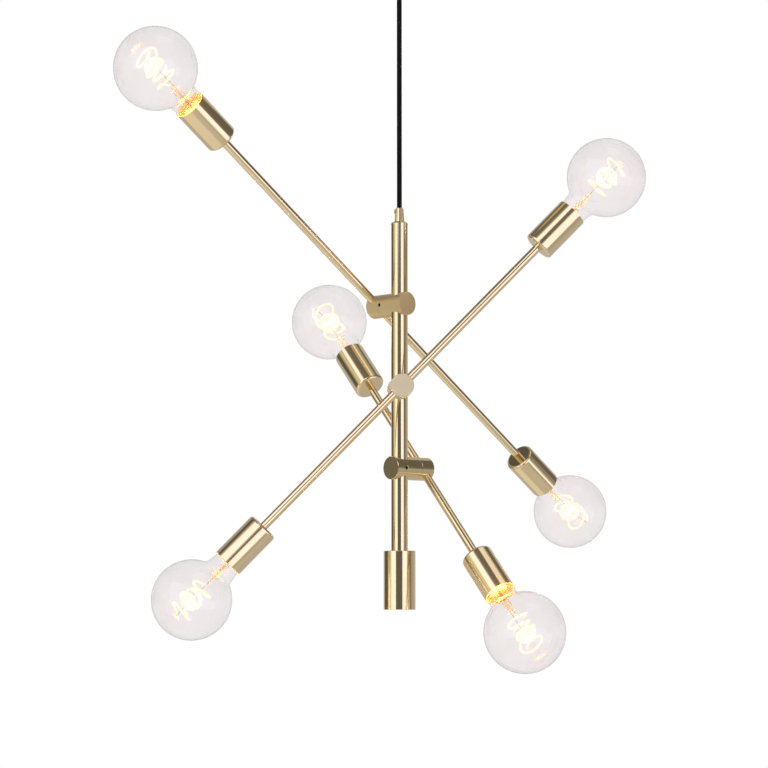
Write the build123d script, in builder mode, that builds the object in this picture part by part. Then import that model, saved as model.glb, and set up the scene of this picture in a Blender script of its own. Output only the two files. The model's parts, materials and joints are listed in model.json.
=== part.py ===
"""Sputnik chandelier: a brass stem hangs on a cord and carries three crossing arms on swivel knuckles.

Millimetres. The origin is where the ceiling bracket meets the ceiling, on the stem's axis, and +Z is up,
so the whole lamp lies below zero. Each arm is one straight rod with a lampholder cup and a clear globe
bulb at both ends. A knuckle turns about the stem, and the knuckle's head, with the rod, turns about the
knuckle's own level axis.
"""

import os
from dataclasses import dataclass
from math import acos, cos, pi, radians, sin, sqrt, tan

from build123d import *

# ---------------------------------------------------------------- driving sizes

FIT = 0.05  # radial clearance of a seated or turning piece
SLIDE_GAP = 0.3  # clearance of pieces that slide on each other
CUT_MARGIN = 1.0  # how far a cut runs past the faces that it opens

# Ceiling fitting
CANOPY_DIAMETER = 120.0
CANOPY_HEIGHT = 28.0
CANOPY_WALL = 1.2
CANOPY_EDGE = 5.0  # round of the lower outer edge
CANOPY_RIM_GAP = 0.3  # rim to ceiling
BOSS_WALL = 3.0  # tapped collar in the middle of the canopy
BOSS_HEIGHT = 6.0
BRACKET_WIDTH = 18.0
BRACKET_THICKNESS = 1.5
BRACKET_HOLE_SPACING = 60.0
BRACKET_HOLE_DIAMETER = 5.0
EAR_GAP = 1.0  # ear to canopy wall
EAR_BELOW_SCREW = 5.0
CANOPY_SCREW_DIAMETER = 4.0
CANOPY_SCREW_DEPTH = 10.0  # screw's axis below the ceiling
CANOPY_SCREW_REACH = 5.0  # past the ear, inwards
CANOPY_SCREW_HEAD_DIAMETER = 8.0
CANOPY_SCREW_HEAD_HEIGHT = 2.4
CANOPY_SCREW_DOME = 1.9  # round of the head's outer edge
SCREW_SLOT_WIDTH = 1.0
TERMINAL_LENGTH = 30.0
TERMINAL_WIDTH = 16.0
TERMINAL_HEIGHT = 11.0
TERMINAL_EDGE = 1.2
TERMINAL_WAYS = 3
TERMINAL_WELL_DIAMETER = 4.0

# Cord, and the gland and grip that hold it
CORD_DIAMETER = 6.0
CORD_DROP = 273.0  # free cord, from the gland down to the grip
GLAND_LENGTH = 14.0
GLAND_SHOULDER = 3.0  # the gland's flange beyond its thread
GLAND_END_WALL = 1.4
GLAND_THREAD_WALL = 1.7
GRIP_HEIGHT = 17.0
GRIP_BASE_DIAMETER = 12.0
GRIP_END_WALL = 1.7
GRIP_EDGE = 0.3
GRIP_CORD_SEAT = 10.0  # length of cord inside the grip
GRIP_SCREW_DIAMETER = 2.6
GRIP_SCREW_HEAD_DIAMETER = 5.2
GRIP_SCREW_HEAD_HEIGHT = 1.2
GRIP_SCREW_DEPTH = 4.0  # screw's axis below the grip's top

# Stem
STEM_DIAMETER = 20.0
STEM_WALL = 1.5
STEM_LENGTH = 394.0
STEM_CAP_LIP = 0.4
STEM_CAP_HEIGHT = 3.0
STEM_CAP_SPIGOT = 6.0
STEM_CAP_CHAMFER = 2.0
WIRE_BORE = 5.6  # way for the wires through caps, nipples, pivots and rods

# Closed cup at the stem's lower end
END_CUP_DIAMETER = 38.0
END_CUP_LENGTH = 68.0
END_CUP_WALL = 1.2
END_CUP_TOP = 1.8
END_CUP_EDGE = 0.6
END_LID_THICKNESS = 2.0
END_LID_SPIGOT = 4.0
NIPPLE_WALL = 2.2
NIPPLE_PLUG_LENGTH = 12.0
NUT_THICKNESS = 4.0
NUT_WALL = 2.4  # thread to the middle of a flat
THREAD_PAST_NUT = 4.0
JUNCTION_LENGTH = 24.0
JUNCTION_WIDTH = 16.0
JUNCTION_HEIGHT = 14.0
JUNCTION_WAYS = 3
JUNCTION_WELL_DIAMETER = 3.6

# Knuckles
KNUCKLE_WALL = 4.0  # around the stem, and at the end face beside it
KNUCKLE_SEAM = 25.0  # stem's axis to the joint between base and head
KNUCKLE_SEAM_GAP = 0.15
KNUCKLE_EDGE = 0.5
ROD_OFFSET = 36.2  # stem's axis to the rod's axis
HEAD_END_WALL = 3.0
PIVOT_WALL = 3.2
PIVOT_START_GAP = 2.0  # stem's surface to the pivot
PIVOT_END_GAP = 0.6  # pivot's end to the rod
GROOVE_DEPTH = 1.2
GRUB_SCREW_DIAMETER = 4.0
GRUB_TIP_DIAMETER = 2.6
GRUB_SCREW_INSET = 3.5  # lock screw's axis from the seam
GRUB_SOCKET_ACROSS = 2.0
GRUB_SOCKET_DEPTH = 1.5
COUNTERSINK_DEPTH = 0.9

# Arms
ROD_DIAMETER = 10.0
ROD_THREAD_DIAMETER = 8.0
ROD_EDGE = 0.4
UPPER_DROP = 100.0  # knuckle's axis below the top of the stem's cap
UPPER_AZIMUTH = 134.6  # knuckle's axis, degrees from +X
UPPER_TILT = 34.5  # rod above the horizontal, degrees
UPPER_ROD_LENGTH = 608.0  # cup to cup
MIDDLE_DROP = 202.0
MIDDLE_AZIMUTH = -85.5
MIDDLE_TILT = 45.7
MIDDLE_ROD_LENGTH = 468.0
LOWER_DROP = 298.0
LOWER_AZIMUTH = 41.5
LOWER_TILT = 47.9
LOWER_ROD_LENGTH = 284.0

# Bulb: a 95 mm globe on a 27 mm Edison screw cap, measured from its end contact
BULB_DIAMETER = 95.0
BULB_LENGTH = 140.0
GLASS_WALL = 0.8
NECK_DIAMETER = 33.0
NECK_TOP_DIAMETER = 38.0
NECK_SHOULDER = 5.0  # cap's rim to the full neck
NECK_FILLET = 9.0
CAP_DIAMETER = 26.0
CAP_HEIGHT = 27.0
CAP_WALL = 0.4
CAP_THREAD_PITCH = 3.6
CAP_THREAD_DEPTH = 0.5
CAP_THREADS = 4
THREAD_CREST = 0.3  # flat part of a rolled thread's crest, as a share of the pitch
CAP_RIM = 4.5
CAP_TAPER = 3.0
CAP_BUTTON_DIAMETER = 9.0
CAP_BUTTON_HEIGHT = 1.5
GLASS_IN_CAP = 5.0
MOUNT_DIAMETER = 9.0
MOUNT_PRESS_DIAMETER = 7.0
MOUNT_PRESS_LENGTH = 9.0
MOUNT_HEIGHT = 64.0
EXHAUST_BORE = 1.2
FILAMENT_DIAMETER = 2.6
FILAMENT_COIL_DIAMETER = 26.0  # to the middle of the filament
FILAMENT_HEIGHT = 42.0
FILAMENT_HALF_TURNS = 7
LEAD_DIAMETER = 0.9
LEAD_SPREAD = 4.4  # between the two leads on the press
LEAD_SLOPE = 0.4  # rise of a lead's last stretch for each millimetre that it goes outwards
LEAD_BEND_RADIUS = 1.8

# Lampholder, measured from the outside of the cup's base
CUP_DEPTH = 60.0
CUP_WALL = 1.2
CUP_BASE = 1.5
CUP_EDGE = 3.5
BULB_SEAT = 27.5  # to the bulb's end contact
SHELL_GAP = 0.2  # bulb's thread to the holder's shell
SHELL_WALL = 0.4
SHELL_WAVE = 0.5
INSERT_WALL = 2.5
INSERT_GAP = 1.0  # insert to cup
INSERT_RIM = 46.0
INSERT_FLOOR = 20.0
TONGUE_WIDTH = 5.0
TONGUE_THICKNESS = 0.6
TONGUE_CROWN = 2.5  # flat of the tongue under the bulb's contact

# ------------------------------------------------------------- worked-out sizes

UP = Vector(0, 0, 1)

canopy_radius = CANOPY_DIAMETER / 2
canopy_bore = canopy_radius - CANOPY_WALL
cord_radius = CORD_DIAMETER / 2
gland_bore = cord_radius + SLIDE_GAP
gland_thread = gland_bore + GLAND_THREAD_WALL
stem_radius = STEM_DIAMETER / 2
stem_bore = stem_radius - STEM_WALL
wire_bore = WIRE_BORE / 2
nipple_radius = wire_bore + NIPPLE_WALL
end_cup_radius = END_CUP_DIAMETER / 2
knuckle_radius = stem_radius + KNUCKLE_WALL
rod_radius = ROD_DIAMETER / 2
rod_thread = ROD_THREAD_DIAMETER / 2
pivot_radius = wire_bore + PIVOT_WALL
pivot_end = ROD_OFFSET - rod_radius - PIVOT_END_GAP
grub_radius = GRUB_SCREW_DIAMETER / 2
lock_screw_at = KNUCKLE_SEAM - GRUB_SCREW_INSET
head_end = ROD_OFFSET + rod_radius + HEAD_END_WALL

cap_radius = CAP_DIAMETER / 2
shell_bore = cap_radius + SHELL_GAP
shell_outer = shell_bore + SHELL_WAVE + SHELL_WALL
insert_bore = shell_outer + FIT
insert_radius = insert_bore + INSERT_WALL
cup_bore = insert_radius + INSERT_GAP
cup_radius = cup_bore + CUP_WALL
rod_nut_top = CUP_BASE + NUT_THICKNESS
rod_thread_length = rod_nut_top + THREAD_PAST_NUT
bulb_radius = BULB_DIAMETER / 2
globe_height = BULB_LENGTH - bulb_radius

# Heights along the stem's axis
canopy_floor = -CANOPY_HEIGHT
gland_end = canopy_floor - GLAND_LENGTH
grip_top = gland_end - CORD_DROP
cap_top = grip_top - GRIP_HEIGHT
stem_top = cap_top - STEM_CAP_HEIGHT
stem_end = stem_top - STEM_LENGTH
lid_seat = stem_end - END_CUP_LENGTH


def level(azimuth):
    """Level unit vector at an azimuth in degrees."""
    return Vector(cos(radians(azimuth)), sin(radians(azimuth)), 0)


def section_plane(origin, axis, radial):
    """Plane of a turned profile: x is the radius and y runs along the axis."""
    return Plane(origin=origin, x_dir=radial, z_dir=radial.cross(axis))


UPRIGHT = section_plane(Vector(0, 0, 0), UP, Vector(1, 0, 0))


@dataclass
class End:
    """One end of a rod: the cup's seat, the way out to the bulb, and a direction across it."""

    name: str
    seat: Vector
    out: Vector
    radial: Vector

    @property
    def axis(self):
        return Axis(self.seat, self.out)

    @property
    def section(self):
        return section_plane(self.seat, self.out, self.radial)

    def across(self, height):
        """Plane square to the rod, a height above the cup's seat."""
        return Plane(origin=self.seat + self.out * height, x_dir=self.radial, z_dir=self.out)


@dataclass
class Arm:
    """One arm: where its knuckle sits on the stem, and how its rod lies."""

    name: str
    drop: float
    azimuth: float
    tilt: float
    rod_length: float

    @property
    def side(self):
        return level(self.azimuth)

    @property
    def across(self):
        return level(self.azimuth + 90)

    @property
    def centre(self):
        return Vector(0, 0, cap_top - self.drop)

    @property
    def rod_centre(self):
        return self.centre + self.side * ROD_OFFSET

    @property
    def along(self):
        return self.across * cos(radians(self.tilt)) + UP * sin(radians(self.tilt))

    @property
    def ends(self):
        half = self.rod_length / 2
        high = End("high", self.rod_centre + self.along * half, self.along, self.side)
        low = End("low", self.rod_centre - self.along * half, self.along * -1, self.side)
        return [high, low]

    @property
    def axis(self):
        return Axis(self.centre, self.side)

    @property
    def section(self):
        """Turning plane of the knuckle: x is the radius, y the distance out from the stem's axis."""
        return section_plane(self.centre, self.side, self.across)

    def square_to_rod(self, distance):
        """Plane square to the rod, a distance up the rod from its middle."""
        return Plane(
            origin=self.rod_centre + self.along * distance, x_dir=self.side, z_dir=self.along
        )


ARMS = [
    Arm("upper", UPPER_DROP, UPPER_AZIMUTH, UPPER_TILT, UPPER_ROD_LENGTH),
    Arm("middle", MIDDLE_DROP, MIDDLE_AZIMUTH, MIDDLE_TILT, MIDDLE_ROD_LENGTH),
    Arm("lower", LOWER_DROP, LOWER_AZIMUTH, LOWER_TILT, LOWER_ROD_LENGTH),
]

os.makedirs("parts", exist_ok=True)


def save(piece, label):
    """Label a finished sub-part and write it under its own name."""
    piece.part.label = label
    export_step(piece.part, f"parts/{label}.step")


# -------------------------------------------------------------- ceiling fitting


def make_ceiling_bracket():
    """Strap with a fixing hole each side of the middle, and a slotted ear bent down at each end."""
    ear_face = canopy_bore - EAR_GAP
    ear_drop = CANOPY_SCREW_DEPTH + EAR_BELOW_SCREW
    slot_width = CANOPY_SCREW_DIAMETER + 2 * SLIDE_GAP
    with BuildPart() as bracket:
        with BuildSketch(Plane.XZ.offset(-BRACKET_WIDTH / 2)):
            with Locations((0, -BRACKET_THICKNESS / 2)):
                Rectangle(2 * ear_face, BRACKET_THICKNESS)
            for end in (-1, 1):
                with Locations((end * (ear_face - BRACKET_THICKNESS / 2), -ear_drop / 2)):
                    Rectangle(BRACKET_THICKNESS, ear_drop)
        extrude(amount=BRACKET_WIDTH)
        with GridLocations(BRACKET_HOLE_SPACING, 0, 2, 1):
            Hole(BRACKET_HOLE_DIAMETER / 2, depth=BRACKET_THICKNESS)
        with BuildSketch(Plane.YZ.offset(-canopy_radius)):
            with Locations((0, -CANOPY_SCREW_DEPTH)):
                Circle(slot_width / 2)
            with Locations((0, -CANOPY_SCREW_DEPTH - ear_drop / 2)):
                Rectangle(slot_width, ear_drop)
        extrude(amount=CANOPY_DIAMETER, mode=Mode.SUBTRACT)
    save(bracket, "ceiling_bracket")


def make_canopy():
    """Spun cover, open to the ceiling, with a tapped collar for the gland in its floor."""
    floor = canopy_floor + CANOPY_WALL
    boss = gland_thread + FIT + BOSS_WALL
    with BuildPart() as canopy:
        with BuildSketch(UPRIGHT):
            with BuildLine():
                Line((gland_thread + FIT, canopy_floor), (canopy_radius - CANOPY_EDGE, canopy_floor))
                RadiusArc(
                    (canopy_radius - CANOPY_EDGE, canopy_floor),
                    (canopy_radius, canopy_floor + CANOPY_EDGE),
                    -CANOPY_EDGE,
                )
                Polyline(
                    (canopy_radius, canopy_floor + CANOPY_EDGE),
                    (canopy_radius, -CANOPY_RIM_GAP),
                    (canopy_bore, -CANOPY_RIM_GAP),
                    (canopy_bore, canopy_floor + CANOPY_EDGE),
                )
                RadiusArc(
                    (canopy_bore, canopy_floor + CANOPY_EDGE),
                    (canopy_radius - CANOPY_EDGE, floor),
                    CANOPY_EDGE - CANOPY_WALL,
                )
                Polyline(
                    (canopy_radius - CANOPY_EDGE, floor),
                    (boss, floor),
                    (boss, canopy_floor + BOSS_HEIGHT),
                    (gland_thread + FIT, canopy_floor + BOSS_HEIGHT),
                    (gland_thread + FIT, canopy_floor),
                )
            make_face()
        revolve(axis=Axis.Z)
        with BuildSketch(Plane.YZ.offset(-canopy_radius)):
            with Locations((0, -CANOPY_SCREW_DEPTH)):
                Circle(CANOPY_SCREW_DIAMETER / 2 + FIT)
        extrude(amount=CANOPY_DIAMETER, mode=Mode.SUBTRACT)
    save(canopy, "ceiling_canopy")


def make_canopy_screws():
    """Two domed screws through the canopy's wall into the slots of the bracket's ears."""
    inner = canopy_bore - EAR_GAP - BRACKET_THICKNESS - CANOPY_SCREW_REACH
    seat = canopy_radius
    crown = seat + CANOPY_SCREW_HEAD_HEIGHT
    head = CANOPY_SCREW_HEAD_DIAMETER / 2
    shank = CANOPY_SCREW_DIAMETER / 2
    origin = Vector(0, 0, -CANOPY_SCREW_DEPTH)
    with BuildPart() as screws:
        for side in (Vector(1, 0, 0), Vector(-1, 0, 0)):
            with BuildSketch(section_plane(origin, side, UP)) as profile:
                Polygon(
                    (0, inner), (shank, inner), (shank, seat), (head, seat), (head, crown), (0, crown),
                    align=None,
                )
                rim = profile.vertices().group_by(Axis.Y)[-1].sort_by(Axis.X)[-1]
                fillet(rim, CANOPY_SCREW_DOME)
            revolve(axis=Axis(origin, side))
            with BuildSketch(Plane(origin=origin + side * crown, x_dir=UP, z_dir=side)):
                Rectangle(2 * CANOPY_SCREW_HEAD_DIAMETER, SCREW_SLOT_WIDTH)
            extrude(amount=-CANOPY_SCREW_HEAD_HEIGHT / 2, mode=Mode.SUBTRACT)
    save(screws, "canopy_screws")


def make_terminal_block():
    """Screw terminals under the strap, where the cord meets the supply."""
    pitch = TERMINAL_LENGTH / TERMINAL_WAYS
    bottom = -BRACKET_THICKNESS - TERMINAL_HEIGHT
    with BuildPart() as block:
        with BuildSketch(Plane.XY.offset(bottom)):
            RectangleRounded(TERMINAL_LENGTH, TERMINAL_WIDTH, TERMINAL_EDGE)
        extrude(amount=TERMINAL_HEIGHT)
        for row in (-1, 1):
            with BuildSketch(Plane.XY.offset(bottom)):
                with Locations((0, row * (TERMINAL_WIDTH + 2 * cord_radius) / 4)):
                    with GridLocations(pitch, 0, TERMINAL_WAYS, 1):
                        Circle(TERMINAL_WELL_DIAMETER / 2)
            extrude(amount=TERMINAL_HEIGHT / 2, mode=Mode.SUBTRACT)
    save(block, "ceiling_terminal_block")


def make_canopy_gland():
    """Tapering gland below the canopy, screwed into its collar; the cord runs through it."""
    flange = gland_thread + GLAND_SHOULDER
    tip = gland_bore + GLAND_END_WALL
    collar_top = canopy_floor + BOSS_HEIGHT
    with BuildPart() as gland:
        with BuildSketch(UPRIGHT):
            with BuildLine():
                Polyline(
                    (gland_bore, gland_end),
                    (tip, gland_end),
                    (flange, canopy_floor),
                    (gland_thread, canopy_floor),
                    (gland_thread, collar_top),
                    (gland_bore, collar_top),
                    close=True,
                )
            make_face()
        revolve(axis=Axis.Z)
        chamfer(gland.edges().filter_by(GeomType.CIRCLE).group_by(Axis.Z)[0], GLAND_END_WALL / 4)
    save(gland, "canopy_gland")


# ------------------------------------------------------------- cord and its grip


def make_pendant_cord():
    """Straight cord from the terminal block down into the grip, pulled tight by the lamp's weight."""
    top = -BRACKET_THICKNESS - TERMINAL_HEIGHT
    bottom = grip_top - GRIP_CORD_SEAT
    with BuildPart() as cord:
        with BuildSketch(Plane.XY.offset(bottom)):
            Circle(cord_radius)
        extrude(amount=top - bottom)
    save(cord, "pendant_cord")
    print(f"cord: straight, {top - bottom:.1f} mm long, {CORD_DROP:.1f} mm of it free")


def make_cord_grip():
    """Cone on the stem's cap, with a socket for the cord and a tapped hole for its side screw."""
    bore = cord_radius + FIT
    tip = bore + GRIP_END_WALL
    seat = grip_top - GRIP_CORD_SEAT
    tail = nipple_radius
    with BuildPart() as grip:
        with BuildSketch(UPRIGHT):
            with BuildLine():
                Polyline(
                    (bore, seat),
                    (bore, grip_top),
                    (tip, grip_top),
                    (GRIP_BASE_DIAMETER / 2, cap_top),
                    (tail, cap_top),
                    (tail, cap_top - STEM_CAP_HEIGHT - STEM_CAP_SPIGOT),
                    (wire_bore, cap_top - STEM_CAP_HEIGHT - STEM_CAP_SPIGOT),
                    (wire_bore, seat),
                    close=True,
                )
            make_face()
        revolve(axis=Axis.Z)
        with BuildSketch(Plane.YZ.offset(-GRIP_BASE_DIAMETER)):
            with Locations((0, grip_top - GRIP_SCREW_DEPTH)):
                Circle(GRIP_SCREW_DIAMETER / 2 + FIT)
        extrude(amount=GRIP_BASE_DIAMETER, mode=Mode.SUBTRACT)
        rim = grip.edges().filter_by(GeomType.CIRCLE).group_by(Axis.Z)[-1].sort_by(SortBy.RADIUS)[-1]
        chamfer(rim, GRIP_EDGE)
    save(grip, "cord_grip")


def make_cord_grip_screw():
    """Screw in the grip's side: its tip stops at the cord's sheath, its head's lower edge at the cone."""
    tip = cord_radius + FIT
    cone_tip = tip + GRIP_END_WALL
    shank = GRIP_SCREW_DIAMETER / 2
    head = GRIP_SCREW_HEAD_DIAMETER / 2
    flare = (GRIP_BASE_DIAMETER / 2 - cone_tip) / GRIP_HEIGHT
    seat = cone_tip + flare * (GRIP_SCREW_DEPTH + head) + FIT
    origin = Vector(0, 0, grip_top - GRIP_SCREW_DEPTH)
    side = Vector(-1, 0, 0)
    with BuildPart() as screw:
        with BuildSketch(section_plane(origin, side, UP)):
            Polygon(
                (0, tip),
                (shank, tip),
                (shank, seat),
                (head, seat),
                (head, seat + GRIP_SCREW_HEAD_HEIGHT),
                (0, seat + GRIP_SCREW_HEAD_HEIGHT),
                align=None,
            )
        revolve(axis=Axis(origin, side))
        outer = screw.edges().filter_by(GeomType.CIRCLE).sort_by(Axis.X)[0]
        fillet(outer, GRIP_SCREW_HEAD_HEIGHT / 3)
    save(screw, "cord_grip_screw")


# ------------------------------------------------------------ stem and end cup


def make_stem_cap():
    """Chamfered cap over the stem's upper end, with a spigot in the tube."""
    lip = stem_radius + STEM_CAP_LIP
    spigot = stem_bore - FIT
    hole = nipple_radius + FIT
    with BuildPart() as cap:
        with BuildSketch(UPRIGHT):
            Polygon(
                (hole, cap_top),
                (lip - STEM_CAP_CHAMFER, cap_top),
                (lip, cap_top - STEM_CAP_CHAMFER),
                (lip, stem_top),
                (spigot, stem_top),
                (spigot, stem_top - STEM_CAP_SPIGOT),
                (hole, stem_top - STEM_CAP_SPIGOT),
                align=None,
            )
        revolve(axis=Axis.Z)
    save(cap, "stem_top_cap")


def make_stem_tube():
    """Stem with a window for the wires behind each knuckle."""
    with BuildPart() as stem:
        with BuildSketch(Plane.XY.offset(stem_end)):
            Circle(stem_radius)
            Circle(stem_bore, mode=Mode.SUBTRACT)
        extrude(amount=STEM_LENGTH)
        for arm in ARMS:
            window = Plane(origin=arm.centre, x_dir=arm.across, z_dir=arm.side)
            with BuildSketch(window):
                SlotOverall(WIRE_BORE * 2, WIRE_BORE)
            extrude(amount=stem_radius, mode=Mode.SUBTRACT)
    save(stem, "stem_tube")


def make_end_cup_nipple():
    """Plug in the stem's lower end, with a threaded stub down through the end cup's top."""
    stub_end = stem_end - END_CUP_TOP - NUT_THICKNESS - THREAD_PAST_NUT
    with BuildPart() as nipple:
        with BuildSketch(UPRIGHT):
            Polygon(
                (wire_bore, stub_end),
                (nipple_radius, stub_end),
                (nipple_radius, stem_end),
                (stem_bore - FIT, stem_end),
                (stem_bore - FIT, stem_end + NIPPLE_PLUG_LENGTH),
                (wire_bore, stem_end + NIPPLE_PLUG_LENGTH),
                align=None,
            )
        revolve(axis=Axis.Z)
    save(nipple, "end_cup_nipple")


def make_end_cup():
    """Plain tube with a flat closed top, hung on the stem's nipple."""
    bore = end_cup_radius - END_CUP_WALL
    hole = nipple_radius + FIT
    with BuildPart() as cup:
        with BuildSketch(UPRIGHT):
            Polygon(
                (hole, stem_end),
                (end_cup_radius, stem_end),
                (end_cup_radius, lid_seat),
                (bore, lid_seat),
                (bore, stem_end - END_CUP_TOP),
                (hole, stem_end - END_CUP_TOP),
                align=None,
            )
        revolve(axis=Axis.Z)
        rim = cup.edges().filter_by(GeomType.CIRCLE).group_by(Axis.Z)[-1].sort_by(SortBy.RADIUS)[-1]
        fillet(rim, END_CUP_EDGE)
    save(cup, "end_cup")


def make_end_cup_nut():
    """Hexagon nut that holds the end cup up on its nipple."""
    top = stem_end - END_CUP_TOP
    with BuildPart() as nut:
        with BuildSketch(Plane.XY.offset(top - NUT_THICKNESS)):
            RegularPolygon(nipple_radius + NUT_WALL, 6, major_radius=False)
            Circle(nipple_radius + FIT, mode=Mode.SUBTRACT)
        extrude(amount=NUT_THICKNESS)
    save(nut, "end_cup_nut")


def make_end_cup_lid():
    """Disc that closes the end cup from below, with a ring that fits inside it."""
    ring = end_cup_radius - END_CUP_WALL - FIT
    lid_bottom = lid_seat - END_LID_THICKNESS
    with BuildPart() as lid:
        with BuildSketch(UPRIGHT):
            Polygon(
                (0, lid_bottom),
                (end_cup_radius, lid_bottom),
                (end_cup_radius, lid_seat),
                (ring, lid_seat),
                (ring, lid_seat + END_LID_SPIGOT),
                (ring - END_CUP_WALL, lid_seat + END_LID_SPIGOT),
                (ring - END_CUP_WALL, lid_seat),
                (0, lid_seat),
                align=None,
            )
        revolve(axis=Axis.Z)
        chamfer(lid.edges().filter_by(GeomType.CIRCLE).group_by(Axis.Z)[0], END_CUP_EDGE / 2)
    save(lid, "end_cup_lid")


def make_junction_block():
    """Terminals that stand on the lid, where the arms' wires meet the cord's."""
    pitch = JUNCTION_LENGTH / JUNCTION_WAYS
    top = lid_seat + JUNCTION_HEIGHT
    with BuildPart() as block:
        with BuildSketch(Plane.XY.offset(lid_seat)):
            RectangleRounded(JUNCTION_LENGTH, JUNCTION_WIDTH, TERMINAL_EDGE)
        extrude(amount=JUNCTION_HEIGHT)
        with BuildSketch(Plane.XY.offset(top)):
            with GridLocations(pitch, JUNCTION_WIDTH / 2, JUNCTION_WAYS, 2):
                Circle(JUNCTION_WELL_DIAMETER / 2)
        extrude(amount=-JUNCTION_HEIGHT / 2, mode=Mode.SUBTRACT)
    save(block, "junction_block")


# --------------------------------------------------------------------- knuckles


def make_knuckle_base(arm):
    """Inner half of a knuckle: the stem passes down through it, and the pivot turns in its bore."""
    clamp_side = section_plane(arm.centre, arm.across * -1, UP)
    lock_point = arm.centre + arm.side * lock_screw_at
    lock_side = section_plane(lock_point, arm.across, UP)
    countersink = grub_radius + COUNTERSINK_DEPTH
    with BuildPart() as base:
        with BuildSketch(arm.section):
            Polygon(
                (0, -knuckle_radius),
                (knuckle_radius - KNUCKLE_EDGE, -knuckle_radius),
                (knuckle_radius, KNUCKLE_EDGE - knuckle_radius),
                (knuckle_radius, KNUCKLE_SEAM - KNUCKLE_EDGE / 2),
                (knuckle_radius - KNUCKLE_EDGE / 2, KNUCKLE_SEAM),
                (0, KNUCKLE_SEAM),
                align=None,
            )
        revolve(axis=arm.axis)
        with BuildSketch(arm.section):
            with Locations(((pivot_radius + FIT) / 2, KNUCKLE_SEAM / 2)):
                Rectangle(pivot_radius + FIT, KNUCKLE_SEAM)
        revolve(axis=arm.axis, mode=Mode.SUBTRACT)
        with BuildSketch(Plane(origin=arm.centre - UP * 2 * knuckle_radius, z_dir=UP)):
            Circle(stem_radius + FIT)
        extrude(amount=4 * knuckle_radius, mode=Mode.SUBTRACT)
        for plane, inner in ((clamp_side, stem_radius), (lock_side, pivot_radius)):
            face = knuckle_radius
            with BuildSketch(plane):
                Polygon(
                    (0, inner - CUT_MARGIN),
                    (grub_radius + FIT, inner - CUT_MARGIN),
                    (grub_radius + FIT, face - COUNTERSINK_DEPTH),
                    (countersink + FIT, face),
                    (countersink + FIT, face + CUT_MARGIN),
                    (0, face + CUT_MARGIN),
                    align=None,
                )
            revolve(axis=Axis(plane.origin, plane.y_dir), mode=Mode.SUBTRACT)
    save(base, f"{arm.name}_knuckle_base")


def make_grub_screws(arm):
    """Two socket screws: one clamps the base to the stem, the other locks the pivot by its groove."""
    lock_point = arm.centre + arm.side * lock_screw_at
    clamp = (section_plane(arm.centre, arm.across * -1, UP), stem_radius + 2 * FIT)
    lock = (section_plane(lock_point, arm.across, UP), pivot_radius - GROOVE_DEPTH + SLIDE_GAP)
    top = knuckle_radius - COUNTERSINK_DEPTH
    with BuildPart() as screws:
        for plane, tip in (clamp, lock):
            with BuildSketch(plane):
                Polygon(
                    (0, tip),
                    (GRUB_TIP_DIAMETER / 2, tip),
                    (GRUB_TIP_DIAMETER / 2, tip + GROOVE_DEPTH),
                    (grub_radius, tip + GROOVE_DEPTH),
                    (grub_radius, top),
                    (0, top),
                    align=None,
                )
            revolve(axis=Axis(plane.origin, plane.y_dir))
            crown = Plane(origin=plane.origin + plane.y_dir * top, x_dir=UP, z_dir=plane.y_dir)
            with BuildSketch(crown):
                RegularPolygon(GRUB_SOCKET_ACROSS / 2, 6, major_radius=False)
            extrude(amount=-GRUB_SOCKET_DEPTH, mode=Mode.SUBTRACT)
    save(screws, f"{arm.name}_grub_screws")


def make_pivot(arm):
    """Hollow pivot fixed in the head, turning in the base, with a groove for the lock screw."""
    start = stem_radius + PIVOT_START_GAP
    groove = GRUB_TIP_DIAMETER / 2 + SLIDE_GAP
    root = pivot_radius - GROOVE_DEPTH
    with BuildPart() as pivot:
        with BuildSketch(arm.section):
            Polygon(
                (wire_bore, start),
                (pivot_radius, start),
                (pivot_radius, lock_screw_at - groove),
                (root, lock_screw_at - groove),
                (root, lock_screw_at + groove),
                (pivot_radius, lock_screw_at + groove),
                (pivot_radius, pivot_end),
                (wire_bore, pivot_end),
                align=None,
            )
        revolve(axis=arm.axis)
    save(pivot, f"{arm.name}_pivot_tube")


def make_knuckle_head(arm):
    """Outer half of a knuckle: the rod crosses it, and the pivot sits in its inner face."""
    seam = KNUCKLE_SEAM + KNUCKLE_SEAM_GAP
    with BuildPart() as head:
        with BuildSketch(arm.section):
            Polygon(
                (0, seam),
                (knuckle_radius - KNUCKLE_EDGE / 2, seam),
                (knuckle_radius, seam + KNUCKLE_EDGE / 2),
                (knuckle_radius, head_end - KNUCKLE_EDGE),
                (knuckle_radius - KNUCKLE_EDGE, head_end),
                (0, head_end),
                align=None,
            )
        revolve(axis=arm.axis)
        with BuildSketch(arm.section):
            Polygon(
                (0, seam),
                (pivot_radius + FIT, seam),
                (pivot_radius + FIT, pivot_end),
                (wire_bore, pivot_end),
                (wire_bore, ROD_OFFSET),
                (0, ROD_OFFSET),
                align=None,
            )
        revolve(axis=arm.axis, mode=Mode.SUBTRACT)
        with BuildSketch(arm.square_to_rod(-2 * knuckle_radius)):
            Circle(rod_radius + FIT)
        extrude(amount=4 * knuckle_radius, mode=Mode.SUBTRACT)
    save(head, f"{arm.name}_knuckle_head")


# ------------------------------------------------------------------------- arms


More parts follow.
